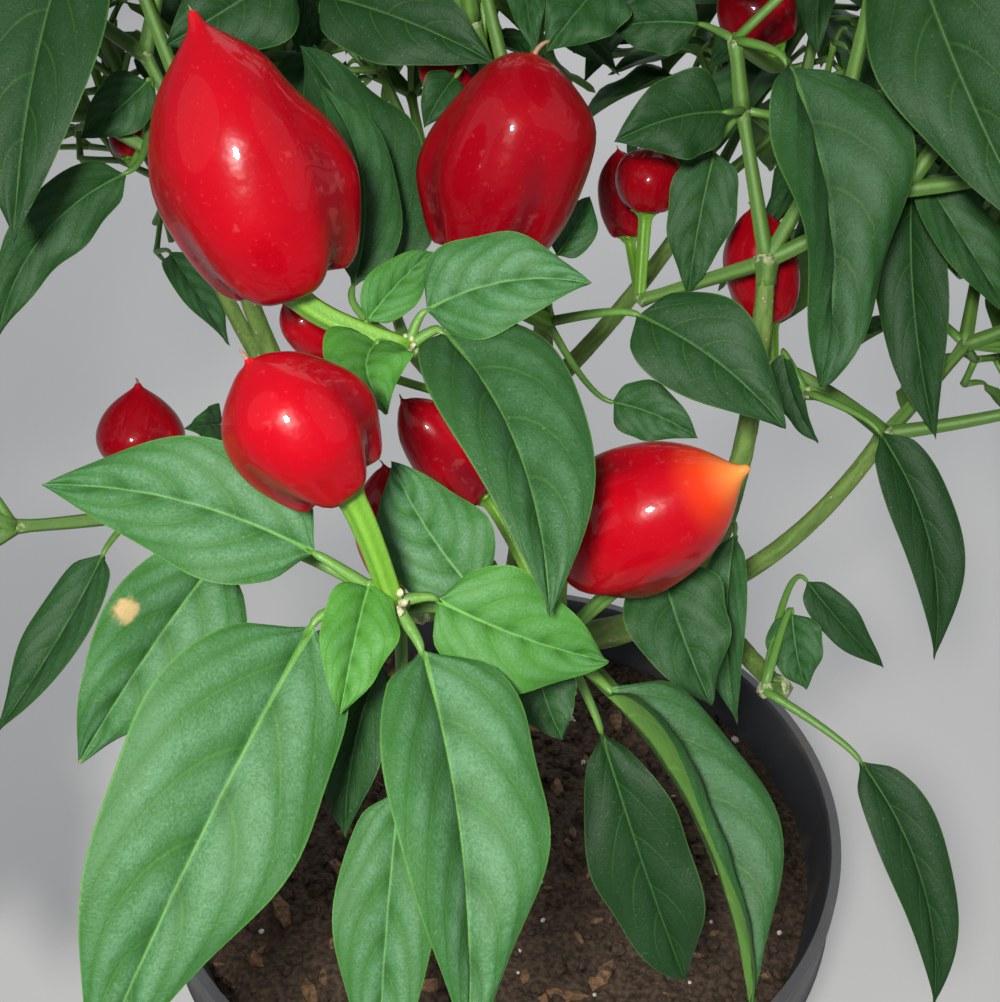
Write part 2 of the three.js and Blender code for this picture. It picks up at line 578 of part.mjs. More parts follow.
function leftHigh() {
  const m = mass("foliage_left_high", "limb_left_high");
  const node = m.twig(m.start, seen([150, 120, 280]));
  const top = m.twig(m.start, seen([110, -90, 262]));
  m.leaf(top, { blade: [76, -78, 238], tip: [14, 243, 232], wide: 27, bow: 2, arch: 6, roll: 26, fold: 20 });
  m.leaf(node, { blade: [128, 172, 266], tip: [-4, 345, 262], wide: 14, bow: 12, arch: 6, roll: -10, fold: 16 });
  m.leaf(node, { blade: [148, 80, 270], tip: [80, 138, 268], wide: 12, bow: -1, arch: 3, roll: 0, fold: 16 });
  m.leaf(top, { blade: [290, -30, 262], tip: [166, 46, 258], wide: 22, bow: 0, arch: 4, roll: 0, fold: 16 });
  m.fruit("fruit_left_high", node, { base: [130, 160, 294], tip: [127, 120, 293], wide: 9, blunt: 0.5 });
  return m;
}

function leftLow() {
  const m = mass("foliage_left_low", "limb_left_low");
  const node = m.twig(m.start, seen([170, 486, 272]));
  m.leaf(node, { blade: [104, 552, 252], tip: [-6, 735, 246], wide: 13, bow: -5, arch: 5, roll: 30, fold: 22 });
  m.leaf(node, { blade: [222, 424, 250], tip: [186, 428, 236], wide: 8, bow: 0, arch: 2, roll: 0, fold: 12 });
  m.fruit("fruit_left", node, { base: [142, 462, 284], tip: [138, 384, 278], wide: 18.5, blunt: 0.85 });
  return m;
}

// Windows of the photograph through which no leaf shows, as [left, top, right, bottom] in its pixels
const WINDOWS = [
  [0, 190, 150, 400],
  [0, 560, 70, 1002],
  [780, 440, 1000, 1002],
  [200, 880, 340, 1002],
];
const BEHIND = 290;
const TWIGS_BEHIND = 215;

function staysHidden(points, behind = BEHIND) {
  return points.every((point) => {
    const { across: x, down: y, depth } = showsAt(point);
    if (depth < 20 || x < -12 || x > EYE.frame[0] + 12 || y < -12 || y > EYE.frame[1] + 12) return true;
    if (depth < behind) return false;
    return WINDOWS.every(([left, top, right, bottom]) => x < left || x > right || y < top || y > bottom);
  });
}

function staysInCrown(points) {
  return points.every((p) => p.z > CROWN.low && p.z < CROWN.high && Math.hypot(p.x, p.y) < CROWN.radius);
}

// One spray leaf at a node: a petiole out and up, then a blade that droops outwards
function sprayLeaf(m, dice, node, heading, turn) {
  const side = across(heading).applyAxisAngle(heading, turn);
  const out = side.clone().addScaledVector(heading, dice.between(0.1, 0.7)).normalize();
  const blade = node.clone().addScaledVector(out, dice.between(11, 21));
  blade.z += dice.between(-1, 4);
  const droop = radians(dice.between(12, 68));
  const level = vector(out.x, out.y, 0).normalize();
  const fall = level.multiplyScalar(Math.cos(droop)).addScaledVector(UP, -Math.sin(droop));
  const length = dice.between(40, 62);
  const tip = blade.clone().addScaledVector(fall, length);
  const facing = fall.clone().multiplyScalar(0.4).add(UP);
  const look = { arch: dice.between(3, 8), bow: dice.between(-4, 4), roll: dice.between(-24, 24) };
  const wide = length * dice.between(0.38, 0.48);
  const plan = leafPlan({ root: node, blade, tip, wide, fold: dice.between(8, 24), facing, ...look });
  const points = leafSamples(plan);
  if (!staysInCrown(points) || !staysHidden(points)) return;
  if (!isClear(m.name, points, SPRAY.clear, 0)) return;
  if (!ownLeavesApart(m, plan.midrib.getPoint(0.5))) return;
  m.add(plan, LEAF.plain);
}

function ownLeavesApart(m, middle) {
  return m.middles.every((place) => place.distanceTo(middle) > SPRAY.leafGap);
}

// The seeded rule: a twig forks in two at each node, and each node bears leaves and at times a fruit
function grow(m, dice, from, heading, length, levels, leaves) {
  const node = from.clone().addScaledVector(heading, length);
  const path = [0.35, 0.7, 1].map((t) => from.clone().lerp(node, t));
  if (!isClear(m.name, path, SPRAY.twigClear, 0) || !staysInCrown([node]) || !staysHidden(path, TWIGS_BEHIND)) return;
  m.twig(from, node, 1, 1);
  const turn = dice.between(0, 2 * Math.PI);
  for (let i = 0; i < leaves; i += 1) {
    sprayLeaf(m, dice, node, heading, turn + (i * 2 * Math.PI) / leaves + dice.between(-0.4, 0.4));
  }
  if (levels === 0) {
    sprayFruit(m, dice, node, heading);
    return;
  }
  const hinge = across(heading).applyAxisAngle(heading, dice.between(0, Math.PI));
  for (const sign of [-1, 1]) {
    const next = heading.clone().applyAxisAngle(hinge, sign * radians(dice.between(24, 42)));
    next.z += 0.12;
    grow(m, dice, node, next.normalize(), length * dice.between(0.82, 1), levels - 1, leaves);
  }
}

let sprayFruits = 0;

function sprayFruit(m, dice, node, heading) {
  const wide = dice.between(13, 22);
  const length = wide * dice.between(1.15, 1.6);
  const chance = dice.next();
  const rise = heading.clone().multiplyScalar(0.5).add(UP).normalize();
  const base = node.clone().addScaledVector(rise, dice.between(10, 15));
  const tip = base.clone().addScaledVector(rise, length);
  const plan = fruitPlan({ root: node, base, tip, wide, blunt: dice.between(0.42, 0.62) });
  const balls = fruitSamples(plan);
  const places = balls.map((ball) => ball.place);
  if (chance > SPRAY.fruitChance || sprayFruits >= SPRAY.fruitMost || !staysHidden(places)) return;
  if (!balls.every(({ place, radius }) => isClear(m.name, [place], radius + SPRAY.fruitClear, radius + SPRAY.fruitClear))) return;
  sprayFruits += 1;
  m.hang(`fruit_spray_${sprayFruits}`, plan);
}

function spray(m, seed, from, headings, length, levels, leaves) {
  const dice = new Dice(seed);
  for (const heading of headings) {
    grow(m, dice, from, vector(...heading).normalize(), length, levels, leaves);
  }
}

function growCrown() {
  const [low, high, right, middle] = [frontLow(), frontHigh(), frontRight(), middleHigh()];
  const [rightTop, rightFoot, rightEdge, leftTop, leftFoot] = [rightHigh(), rightLow(), rightSide(), leftHigh(), leftLow()];
  const leftBack = mass("foliage_left_back", "limb_left_back");
  const backRight = mass("foliage_back_right", "limb_back_right");
  const backLeft = mass("foliage_back_left", "limb_back_left");
  spray(rightEdge, 11, rightEdge.start, [[1, -0.2, 0.35], [0.8, 0.7, 0.5]], 30, 2, 3);
  spray(leftBack, 23, leftBack.start, [[-1, 0.1, 0.4], [-0.6, 1, 0.5]], 30, 2, 3);
  spray(backRight, 37, backRight.start, [[0.5, 0.9, 0.5], [1, 0.3, 0.8]], 30, 2, 3);
  spray(backLeft, 41, backLeft.start, [[-0.2, 1, 0.5], [-0.5, 0.5, 1]], 30, 2, 3);
  spray(rightTop, 53, rightTop.start, [[0.6, 0.5, 1], [1, 0, 0.6]], 30, 2, 3);
  spray(leftTop, 67, leftTop.start, [[-0.6, 0.5, 1], [-1, 0.2, 0.5]], 30, 2, 3);
  spray(middle, 71, middle.start, [[0.1, 0.5, 1], [-0.4, 0.2, 1]], 30, 2, 3);
  spray(leftFoot, 83, leftFoot.start, [[-1, -0.5, 0.2], [-0.7, 0.3, 0.1]], 28, 2, 3);
  spray(rightFoot, 97, rightFoot.start, [[1, -0.6, 0.1]], 28, 1, 3);
  spray(low, 101, low.start, [[-0.6, -0.6, 0]], 24, 1, 3);
  spray(high, 103, high.start, [[-0.8, 0, 0.3]], 24, 1, 3);
  spray(right, 107, right.start, [[0.4, -0.5, -0.1]], 24, 1, 3);
}

// Paint and assembly
const PAINT = {
  pot: { color: 0x26282b, roughness: 0.55, metalness: 0 },
  soil: { color: 0x3a2a1e, roughness: 0.95, metalness: 0 },
  bark: { color: 0x6a6a3c, roughness: 0.8, metalness: 0 },
  leaf: { color: 0x2f7a3a, roughness: 0.5, metalness: 0 },
  fruit: { color: 0xc4121c, roughness: 0.2, metalness: 0 },
};

const plant = new THREE.Group();

function place(name, solid, paint) {
  const mesh = new THREE.Mesh(geometryOf(solid), new THREE.MeshStandardMaterial(PAINT[paint]));
  mesh.name = name;
  plant.add(mesh);
}

place("pot", potSolid(), "pot");
place("soil", soilSolid(), "soil");
place("trunk", trunkSolid(), "bark");
for (const [name, plan] of Object.entries(boughs)) {
  place(name, boughSolid(plan), "bark");
}
growCrown();
for (const m of masses) {
  place(m.name, joined(m.solids), "leaf");
  for (const { name, plan } of m.fruits) place(name, fruitSolid(plan), "fruit");
}

export default plant;
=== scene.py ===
# %% [markdown]
# # A fruiting chilli pepper plant in a round pot
# A chilli pepper plant is a small shrub. A short stem leaves the pot, forks again and again, and bears
# drooping leaves and upright glossy peppers at its forks. It could be drawn as one leafy blob, or leaf by
# leaf. It is made leaf by leaf here, because it is looked at from so near that each leaf's fold and each
# pepper's calyx show. Lengths in the growing rule are millimetres, and a mesh turns them into Blender's
# metres.

# %% Load the packed plant
import math

import bmesh
import bpy
import numpy as np
from mathutils import Matrix, Vector, noise
from mathutils.kdtree import KDTree


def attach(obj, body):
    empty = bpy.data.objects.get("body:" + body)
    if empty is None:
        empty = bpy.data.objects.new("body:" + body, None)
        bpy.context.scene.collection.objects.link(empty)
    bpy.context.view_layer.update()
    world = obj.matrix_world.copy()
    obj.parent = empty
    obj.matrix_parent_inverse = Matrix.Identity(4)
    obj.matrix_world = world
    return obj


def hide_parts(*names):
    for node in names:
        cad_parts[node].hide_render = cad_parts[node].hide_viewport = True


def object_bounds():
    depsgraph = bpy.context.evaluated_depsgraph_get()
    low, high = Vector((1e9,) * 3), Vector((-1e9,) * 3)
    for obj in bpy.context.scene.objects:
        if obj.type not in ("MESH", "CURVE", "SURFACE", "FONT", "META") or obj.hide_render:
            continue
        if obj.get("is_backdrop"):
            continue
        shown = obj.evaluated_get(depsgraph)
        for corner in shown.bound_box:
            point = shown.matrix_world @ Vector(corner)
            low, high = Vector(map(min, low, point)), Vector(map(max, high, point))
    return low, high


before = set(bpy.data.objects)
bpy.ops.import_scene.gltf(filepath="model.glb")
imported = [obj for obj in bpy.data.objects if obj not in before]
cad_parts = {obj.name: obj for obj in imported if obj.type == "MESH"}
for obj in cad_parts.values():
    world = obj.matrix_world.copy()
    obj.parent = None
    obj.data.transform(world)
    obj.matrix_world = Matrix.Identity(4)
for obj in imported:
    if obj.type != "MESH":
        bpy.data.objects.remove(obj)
cad_low, cad_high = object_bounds()
cad_size = [round(high - low, 3) for low, high in zip(cad_low, cad_high)]
MM = 0.001
print("The packed plant has", len(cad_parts), "solids and measures", cad_size, "metres")

# %% [markdown]
# ## The eye
# The plant is seen from close by and from above. A camera is only a place, a direction and a focal
# length, so these come first, and a leaf can then be placed by where it shows in the picture and how deep
# it lies.

# %% The camera
EYE_PLACE = np.array([0.0, -241.0, 407.0])
EYE_DOWN = math.radians(35)
FOCAL_PIXELS = 1300
FRAME_SIZE = (1000, 1002)
FRAME_MIDDLE = (500, 501)
SENSOR_WIDTH = 36
EYE_FORWARD = np.array([0, math.cos(EYE_DOWN), -math.sin(EYE_DOWN)])
EYE_UP = np.array([0, math.sin(EYE_DOWN), math.cos(EYE_DOWN)])

scene = bpy.context.scene
eye_lens = bpy.data.cameras.new("eye")
eye_lens.sensor_fit = "HORIZONTAL"
eye_lens.sensor_width = SENSOR_WIDTH
eye_lens.lens = FOCAL_PIXELS * SENSOR_WIDTH / FRAME_SIZE[0]
eye_lens.clip_start = 0.01
eye = bpy.data.objects.new("eye", eye_lens)
eye.location = EYE_PLACE * MM
eye.rotation_euler = (math.pi / 2 - EYE_DOWN, 0, 0)
scene.collection.objects.link(eye)
scene.camera = eye


def seen(across, down, depth):
    """The place that shows at a pixel of the picture, at a depth in millimetres."""
    right = (across - FRAME_MIDDLE[0]) / FOCAL_PIXELS * depth
    rise = (FRAME_MIDDLE[1] - down) / FOCAL_PIXELS * depth
    return EYE_PLACE + EYE_FORWARD * depth + EYE_UP * rise + np.array([right, 0, 0])


def shows_at(points):
    """Where each point shows in the picture, and its depth."""
    away = np.atleast_2d(points) - EYE_PLACE
    depth = away @ EYE_FORWARD
    across = FRAME_MIDDLE[0] + FOCAL_PIXELS * away[:, 0] / depth
    down = FRAME_MIDDLE[1] - FOCAL_PIXELS * (away @ EYE_UP) / depth
    return across, down, depth


print("The lens is", round(eye_lens.lens, 1), "mm")

# %% [markdown]
# ## Directions and curves
# A stem bends from one place to another, and a leaf is flat across its own length. Blender has vectors of
# its own, but they are kept short, and the growing rule has to come out the same to the last digit, so
# numpy's are used.


# %% Small helpers for directions and bends
UP = np.array([0.0, 0.0, 1.0])
RIGHT = np.array([1.0, 0.0, 0.0])
NUDGE, LENGTH_PARTS = 1e-4, 200


def unit(vector):
    return vector / math.sqrt(vector @ vector)


def cross(a, b):
    return np.array([a[1] * b[2] - a[2] * b[1], a[2] * b[0] - a[0] * b[2], a[0] * b[1] - a[1] * b[0]])


def distance(a, b):
    return math.sqrt((a - b) @ (a - b))


def turned(vector, axis, angle):
    """A vector turned about an axis of length 1."""
    level = axis * (axis @ vector) * (1 - math.cos(angle))
    return vector * math.cos(angle) + cross(axis, vector) * math.sin(angle) + level


def across(direction):
    """A direction square to the given one, and level where that can be."""
    return unit(cross(UP if abs(direction[2]) < 0.9 else RIGHT, direction))


def square_to(guide, direction):
    return unit(guide - direction * (guide @ direction))


class Bend:
    """A curve from a start to an end that leans towards a middle point."""

    def __init__(self, start, middle, end):
        self.start, self.middle, self.end = start, middle, end

    def at(self, t):
        t = np.asarray(t)[..., None]
        return (1 - t) ** 2 * self.start + 2 * (1 - t) * t * self.middle + t * t * self.end

    def along(self, t):
        """The direction at t, read between two places just before and after it."""
        before, after = np.clip(np.asarray(t) - NUDGE, 0, 1), np.clip(np.asarray(t) + NUDGE, 0, 1)
        step = self.at(after) - self.at(before)
        return step / np.linalg.norm(step, axis=-1, keepdims=True)

    def length(self):
        places = self.at(np.linspace(0, 1, LENGTH_PARTS + 1))
        return float(np.linalg.norm(np.diff(places, axis=0), axis=1).sum())


def straight(start, end):
    return Bend(start, (start + end) / 2, end)


print("A bend over a quarter circle is", round(Bend(RIGHT, RIGHT + UP, UP).length(), 3), "long")

# %% [markdown]
# ## One leaf, as a plan
# A chilli leaf is ovate with a drawn-out tip, folded a little along its midrib, on a petiole of its own.
# Its plan is only a midrib curve, the way its face looks, a width and a fold. The mesh is made from the
# plan later, so the rule can try a leaf, find that it touches a neighbour, and drop it before any face is
# made.

# %% The leaf plan
LEAF_BASE, LEAF_TIP = 0.62, 1.12
PETIOLE_LEAD = 0.22
TRY_ALONG = np.array([0.05, 0.2, 0.35, 0.5, 0.65, 0.8, 0.97])
TRY_ACROSS = np.array([-0.85, -0.4, 0, 0.4, 0.85])


class Leaf:
    def __init__(self, root, blade, tip, wide, bow=0, arch=4, roll=0, fold=18, facing=None, **look):
        chord = tip - blade
        middle = blade + chord / 2
        along = unit(chord)
        flat = square_to(EYE_PLACE - middle if facing is None else facing, along)
        self.face = turned(flat, along, math.radians(roll))
        elbow = middle + cross(along, self.face) * bow + self.face * arch
        self.midrib = Bend(blade, elbow, tip)
        reach = distance(blade, root)
        self.petiole = Bend(root, blade + unit(blade - elbow) * reach * PETIOLE_LEAD, blade)
        self.wide, self.fold = wide, math.radians(fold)
        self.length = math.sqrt(chord @ chord)
        self.shape = look.pop("shape", (LEAF_BASE, LEAF_TIP))
        self.look = look

    def half_width(self, s):
        base, tip = self.shape
        widest = base / (base + tip)
        scale = widest**base * (1 - widest) ** tip
        return self.wide / 2 * s**base * (1 - s) ** tip / scale

    def frames(self, s):
        """Midrib places, and the directions along it, out of its face and sideways, one row for each s."""
        along = self.midrib.along(s)
        face = self.face - along * (along @ self.face)[:, None]
        face /= np.linalg.norm(face, axis=1)[:, None]
        return self.midrib.at(s), along, face, np.cross(along, face)

    def tries(self):
        """Places all over the blade, by which the rule tells whether it touches something."""
        spine, _, face, side = self.frames(TRY_ALONG)
        reach = self.half_width(TRY_ALONG)[:, None] * np.abs(TRY_ACROSS)
        out = (reach * np.sign(TRY_ACROSS) * math.cos(self.fold))[..., None] * side[:, None]
        rise = (reach * math.sin(self.fold))[..., None] * face[:, None]
        return (spine[:, None] + out + rise).reshape(-1, 3)


print("A leaf is tried at", len(TRY_ALONG) * len(TRY_ACROSS), "places")

# %% [markdown]
# ## One pepper, as a plan
# This kind bears its peppers upright. Each is widest near its shoulder and narrows to a blunt or pointed
# tip, and it sits on a ridged stalk that swells into a green calyx. Two powers give the whole outline, a
# shoulder's and a tip's.


# %% The pepper plan
STALK_BOW, SHOULDER = 0.22, 0.4
BALLS_AT = (0.12, 0.35, 0.6, 0.85)


class Pepper:
    def __init__(self, root, base, tip, wide, blunt, **look):
        self.length = distance(base, tip)
        self.axis = (tip - base) / self.length
        self.base, self.tip, self.wide, self.blunt, self.look = base, tip, wide, blunt, look
        self.stalk = Bend(root, base - self.axis * STALK_BOW * distance(base, root), base)

    def radius(self, a):
        widest = SHOULDER / (SHOULDER + self.blunt)
        scale = widest**SHOULDER * (1 - widest) ** self.blunt
        return self.wide / 2 * a**SHOULDER * (1 - a) ** self.blunt / scale

    def balls(self):
        return [(self.base + self.axis * a * self.length, self.radius(a)) for a in BALLS_AT]


print("A pepper is kept apart by", len(Pepper(UP, UP, UP * 2, 1, SHOULDER).balls()), "balls")

# %% [markdown]
# ## The trunk and its boughs
# The stem leans a little, flares where it leaves the soil, and forks into four boughs, each of which
# forks again. A table of forks is easier to read than a rule here, because the boughs have to lead to
# where the leaves show.

# %% The limbs
CLEAR = 0.3
COLLAR = 3.5
SOIL_TOP = 124
TRUNK_FLARE, TRUNK_FOOT, TRUNK_TOP = 11, 7, 5.6
FORK = np.array([3.0, 4.0, 194.0])
TRUNK_LEAN = 5
KNOB, TRUNK_KNOB = 4.8, 7.4
BOUGHS = {
    "bough_front": ("trunk", (-4, -26, 238), (0, -6, -3), (3.9, 3.3)),
    "bough_right": ("trunk", (44, -14, 222), (6, -4, -5), (4.0, 3.3)),
    "bough_left": ("trunk", (-42, 22, 236), (-6, 0, -4), (3.9, 3.3)),
    "bough_back": ("trunk", (10, 44, 240), (0, 6, -3), (3.8, 3.2)),
    "limb_front_low": ("bough_front", (-13, -74, 268), (-3, -5, -3), (2.7, 2.1)),
    "limb_front_high": ("bough_front", (-9, -36, 284), (-4, 2, 0), (2.7, 2.1)),
    "limb_front_right": ("bough_front", (15, -57, 243), (6, 1, -4), (2.5, 2.0)),
    "limb_right_low": ("bough_right", (55, -46, 226), (3, -3, -3), (2.6, 2.0)),
    "limb_right_high": ("bough_right", (55, 6, 290), (6, -3, 0), (2.8, 2.1)),
    "limb_right_side": ("bough_right", (84, 4, 250), (6, 4, -12), (2.5, 2.0)),
    "limb_left_high": ("bough_left", (-60, 24, 300), (-6, 0, 0), (2.7, 2.0)),
    "limb_left_low": ("bough_left", (-72, -12, 244), (-2, -4, -5), (2.6, 2.0)),
    "limb_left_back": ("bough_left", (-72, 60, 266), (-3, 3, -4), (2.6, 2.0)),
    "limb_back_right": ("bough_back", (52, 82, 276), (3, 3, -5), (2.6, 2.0)),
    "limb_back_left": ("bough_back", (-18, 92, 276), (-2, 4, -5), (2.6, 2.0)),
    "limb_top": ("bough_back", (6, 22, 306), (4, 2, 0), (2.7, 2.0)),
}
BALL_SPACING, WIDEST_BALL, MOST_BALLS = 5, 12, 60000


class Room:
    """What is already in the crown, as balls that a new leaf keeps clear of."""

    def __init__(self):
        self.places, self.radii = np.zeros((MOST_BALLS, 3)), np.zeros(MOST_BALLS)
        self.owners = np.zeros(MOST_BALLS, int)
        self.count, self.numbers = 0, {}

    def take(self, owner, places, radius):
        places = np.atleast_2d(places)
        rows = slice(self.count, self.count + len(places))
        self.places[rows], self.radii[rows] = places, radius
        self.owners[rows] = self.numbers.setdefault(owner, len(self.numbers))
        self.count = rows.stop

    def take_curve(self, owner, curve, radius):
        steps = max(2, math.ceil(curve.length() / BALL_SPACING))
        self.take(owner, curve.at(np.arange(steps + 1) / steps), radius)

    def is_clear(self, owner, points, gap, own_gap):
        points = np.atleast_2d(points)
        widest = WIDEST_BALL + max(gap, own_gap)
        filled = slice(0, self.count)
        places = self.places[filled]
        near = np.all((places > points.min(0) - widest) & (places < points.max(0) + widest), axis=1)
        own = self.owners[filled][near] == self.numbers.get(owner, -1)
        if own_gap == 0:
            near[near] = ~own
            own = np.zeros(near.sum(), bool)
        apart = points[:, None] - places[near]
        need = self.radii[filled][near] + np.where(own, own_gap, gap)
        return bool(np.all((apart**2).sum(-1) > need**2))


room = Room()


def limb_plans():
    ends, plans = {"trunk": (FORK, TRUNK_KNOB)}, {}
    for name, (carrier, to, bow, radii) in BOUGHS.items():
        place, knob = ends[carrier]
        end = np.array(to, float)
        middle = (place + end) / 2 + np.array(bow, float)
        start = place + unit(middle - place) * (knob + CLEAR)
        plans[name] = (Bend(start, middle, end), radii)
        ends[name] = (end, KNOB)
        room.take_curve(name, plans[name][0], radii[0])
    return plans


trunk_foot = np.array([0.0, 0.0, SOIL_TOP + CLEAR])
trunk_curve = Bend(trunk_foot, np.array([-TRUNK_LEAN, 2.0, (SOIL_TOP + FORK[2]) / 2]), FORK)
limbs = limb_plans()
room.take_curve("trunk", trunk_curve, TRUNK_TOP)
print(len(limbs), "limbs leave a trunk of", round(trunk_curve.length()), "mm")

# %% [markdown]
# ## Masses of foliage
# Each limb ends in a mass: twigs, leaves and peppers that share one stem. On the near side every leaf is
# placed one by one, with its blade's two ends given as pixels and depths. That is slow but true, and no
# rule would find them. A leaf also says how wide it is, how it bows, arches, rolls and folds, and how
# light its green is. Each lump of a pepper has a place along it, an angle about it, a reach and a height.

# %% What a mass holds
TWIG_RADIUS, TWIG_TIP, PETIOLE_RADIUS, STALK_RADIUS = 1.7, 1.2, 0.95, 1.7
COLLAR_TAPER, TWIG_SCARS = 0.95, 0.36


class Mass:
    def __init__(self, name, limb):
        self.name = "foliage_" + name
        self.leaves, self.twigs, self.scars, self.peppers = [], [], [], []
        self.middles, self.ends = [], []
        curve, radii = limbs["limb_" + limb]
        heading, radius = curve.along(1), radii[1]
        foot = curve.at(1) + heading * CLEAR
        self.start = foot + heading * COLLAR
        room.take_curve(self.name, straight(foot, self.start), radius)
        collar = straight(curve.at(1) - heading, self.start + heading)
        self.twigs.append((collar, radius, radius * COLLAR_TAPER))

    def twig(self, start, end, sag=0, radius=TWIG_RADIUS, tip=TWIG_TIP, scars=TWIG_SCARS):
        curve = Bend(start, (start + end) / 2 - UP * sag, end)
        room.take_curve(self.name, curve, radius)
        self.twigs.append((curve, radius, tip))
        self.scars.append((curve, scars))
        return end

    def leaf(self, root, blade, tip, wide, **look):
        self.add(Leaf(root, seen(*blade), seen(*tip), wide, near=True, **look))

    def add(self, leaf):
        room.take(self.name, leaf.tries(), 0)
        room.take_curve(self.name, leaf.petiole, PETIOLE_RADIUS)
        self.leaves.append(leaf)
        self.middles.append(leaf.midrib.at(0.5))

    def fruit(self, name, root, base, tip, wide, **look):
        self.hang("fruit_" + name, Pepper(root, seen(*base), seen(*tip), wide, **look))

    def hang(self, name, pepper):
        for place, radius in pepper.balls():
            room.take(name, place, radius)
        room.take_curve(self.name, pepper.stalk, STALK_RADIUS)
        self.peppers.append((name, pepper))


masses = {}


def mass(name, limb=None):
    masses[name] = Mass(name, limb or name)
    return masses[name]


def tally(held, *kinds):
    """How many leaves, twigs or peppers these masses hold, in words."""
    return " and ".join(f"{sum(len(getattr(m, kind)) for m in held)} {kind}" for kind in kinds)


print("There are", len([name for name in limbs if name.startswith("limb")]), "limbs for a mass to grow on")


# %% The low mass in front
m = mass("front_low")
back = m.twig(m.start, seen(400, 606, 206))
node = m.twig(back, seen(393, 603, 183), scars=1.9)
m.leaf(node, (318, 555, 186), (41, 485, 187), 19.5, bow=5, arch=5, roll=6, fold=10, tint=0.85)
m.leaf(node, (315, 621, 180), (88, 1085, 163), 28, bow=3, arch=7, roll=-8, fold=11, uneven=0.08, wave=0.6,
       tint=0.8)
m.leaf(node, (420, 646, 180), (468, 1050, 166), 26, bow=-2, arch=7, roll=-26, fold=27, wave=0.5, tint=0.8)
m.leaf(node, (434, 598, 184), (609, 661, 190), 17.5, bow=2, fold=10, tint=1.12)
m.leaf(node, (369, 584, 181), (340, 716, 173), 11.5, bow=1, arch=3, roll=-10, fold=22, tint=1.15,
       shape=(0.58, 1.0))
m.leaf(back, (226, 548, 205), (78, 765, 199), 22, bow=3, arch=5, roll=-16, fold=20, tint=1.0,
       spots=((0.41, 0.7, 0.07, 0.24), (1.0, 0, 0.03, 1)))
m.leaf(back, (382, 660, 196), (345, 838, 197), 12, bow=2, arch=3, roll=20, fold=20, tint=0.1)
m.leaf(back, (400, 786, 202), (378, 1090, 196), 16.5, bow=1, arch=5, fold=12, tint=1.03)
m.leaf(back, (478, 596, 199), (391, 461, 205), 17, bow=-2, fold=10, tint=0.95)
lumps = ((0.8, 0, 0.2, -0.16), (0.35, 0, 0.2, 0.06), (0.85, 180, 0.16, -0.1), (0.1, -60, 0.14, -0.12))
m.fruit("front_round", node, (346, 489, 174), (248, 360, 166), 19.5, blunt=0.4, lobes=3, depth=0.09,
        nose=0.35, phase=4.45, nub=0.03, lumps=lumps)
m.fruit("inner_low", back, (398, 582, 215), (384, 466, 211), 12, blunt=0.5)
print("The low mass in front has", tally([m], "leaves", "peppers"))

# %% The high mass in front
m = mass("front_high")
node = m.twig(m.start, seen(408, 347, 205), scars=1.4)
m.leaf(node, (440, 330, 203), (550, 618, 178), 26, bow=-6, arch=8, roll=-26, fold=28, wave=0.3, tint=0.32)
m.leaf(node, (424, 312, 203), (592, 283, 199), 17, bow=-4, roll=-18, fold=10, tint=0.8)
m.leaf(node, (366, 322, 203), (433, 251, 210), 9, bow=-1, arch=2, fold=20, tint=1.1)
m.leaf(node, (378, 342, 202), (388, 414, 190), 15, bow=5, arch=3, roll=-10, fold=22, tint=1.15)
m.leaf(node, (352, 290, 216), (314, 78, 230), 13, bow=9, arch=6, roll=20, fold=20, tint=0.25)
m.leaf(node, (392, 285, 230), (300, 45, 248), 22, bow=7, roll=10, fold=15, tint=0.1)
lumps = ((0.7, 0, 0.14, -0.15), (0.34, 0, 0.15, 0.07), (0.6, 180, 0.25, 0.07), (0.3, -40, 0.3, -0.07))
m.fruit("front_large", node, (296, 291, 199), (192, 12, 182), 28.5, blunt=0.66, lobes=3, depth=0.06,
        nose=0.5, phase=4.8, shade=0.6, nub=0.035, style=0.5, lumps=lumps)
m.fruit("inner_small", m.start, (336, 352, 226), (284, 305, 218), 9, blunt=0.5)
print("The high mass in front has", tally([m], "leaves", "peppers"))

# %% The front mass at the right
m = mass("front_right")
back = m.twig(m.start, seen(560, 640, 232))
node = m.twig(back, seen(577, 662, 214))
m.leaf(node, (608, 688, 204), (753, 1008, 184), 26, bow=-4, arch=8, roll=-52, fold=50, wave=0.7, tint=0.4)
m.leaf(back, (600, 728, 232), (685, 980, 238), 19, bow=1, fold=16, tint=0.0, shape=(0.85, 0.85))
m.leaf(back, (660, 562, 238), (712, 706, 232), 20, bow=2, roll=-10, fold=20, tint=0.25)
m.leaf(back, (735, 532, 250), (737, 725, 254), 11, bow=2, roll=30, fold=20, tint=0.5)
m.leaf(node, (538, 668, 210), (563, 740, 207), 11, bow=1, arch=2, fold=14, tint=0.2)
m.fruit("front_right", back, (568, 552, 224), (748, 468, 206), 25, blunt=0.72, lobes=3, depth=0.05,
        nose=0.4, phase=4.2, shade=0.9, turning=(0.68, 1.0), nub=0.03, style=0.3)
m.fruit("inner_long", back, (486, 498, 238), (402, 400, 228), 13, blunt=0.5)
print("The front mass at the right has", tally([m], "leaves", "peppers"))

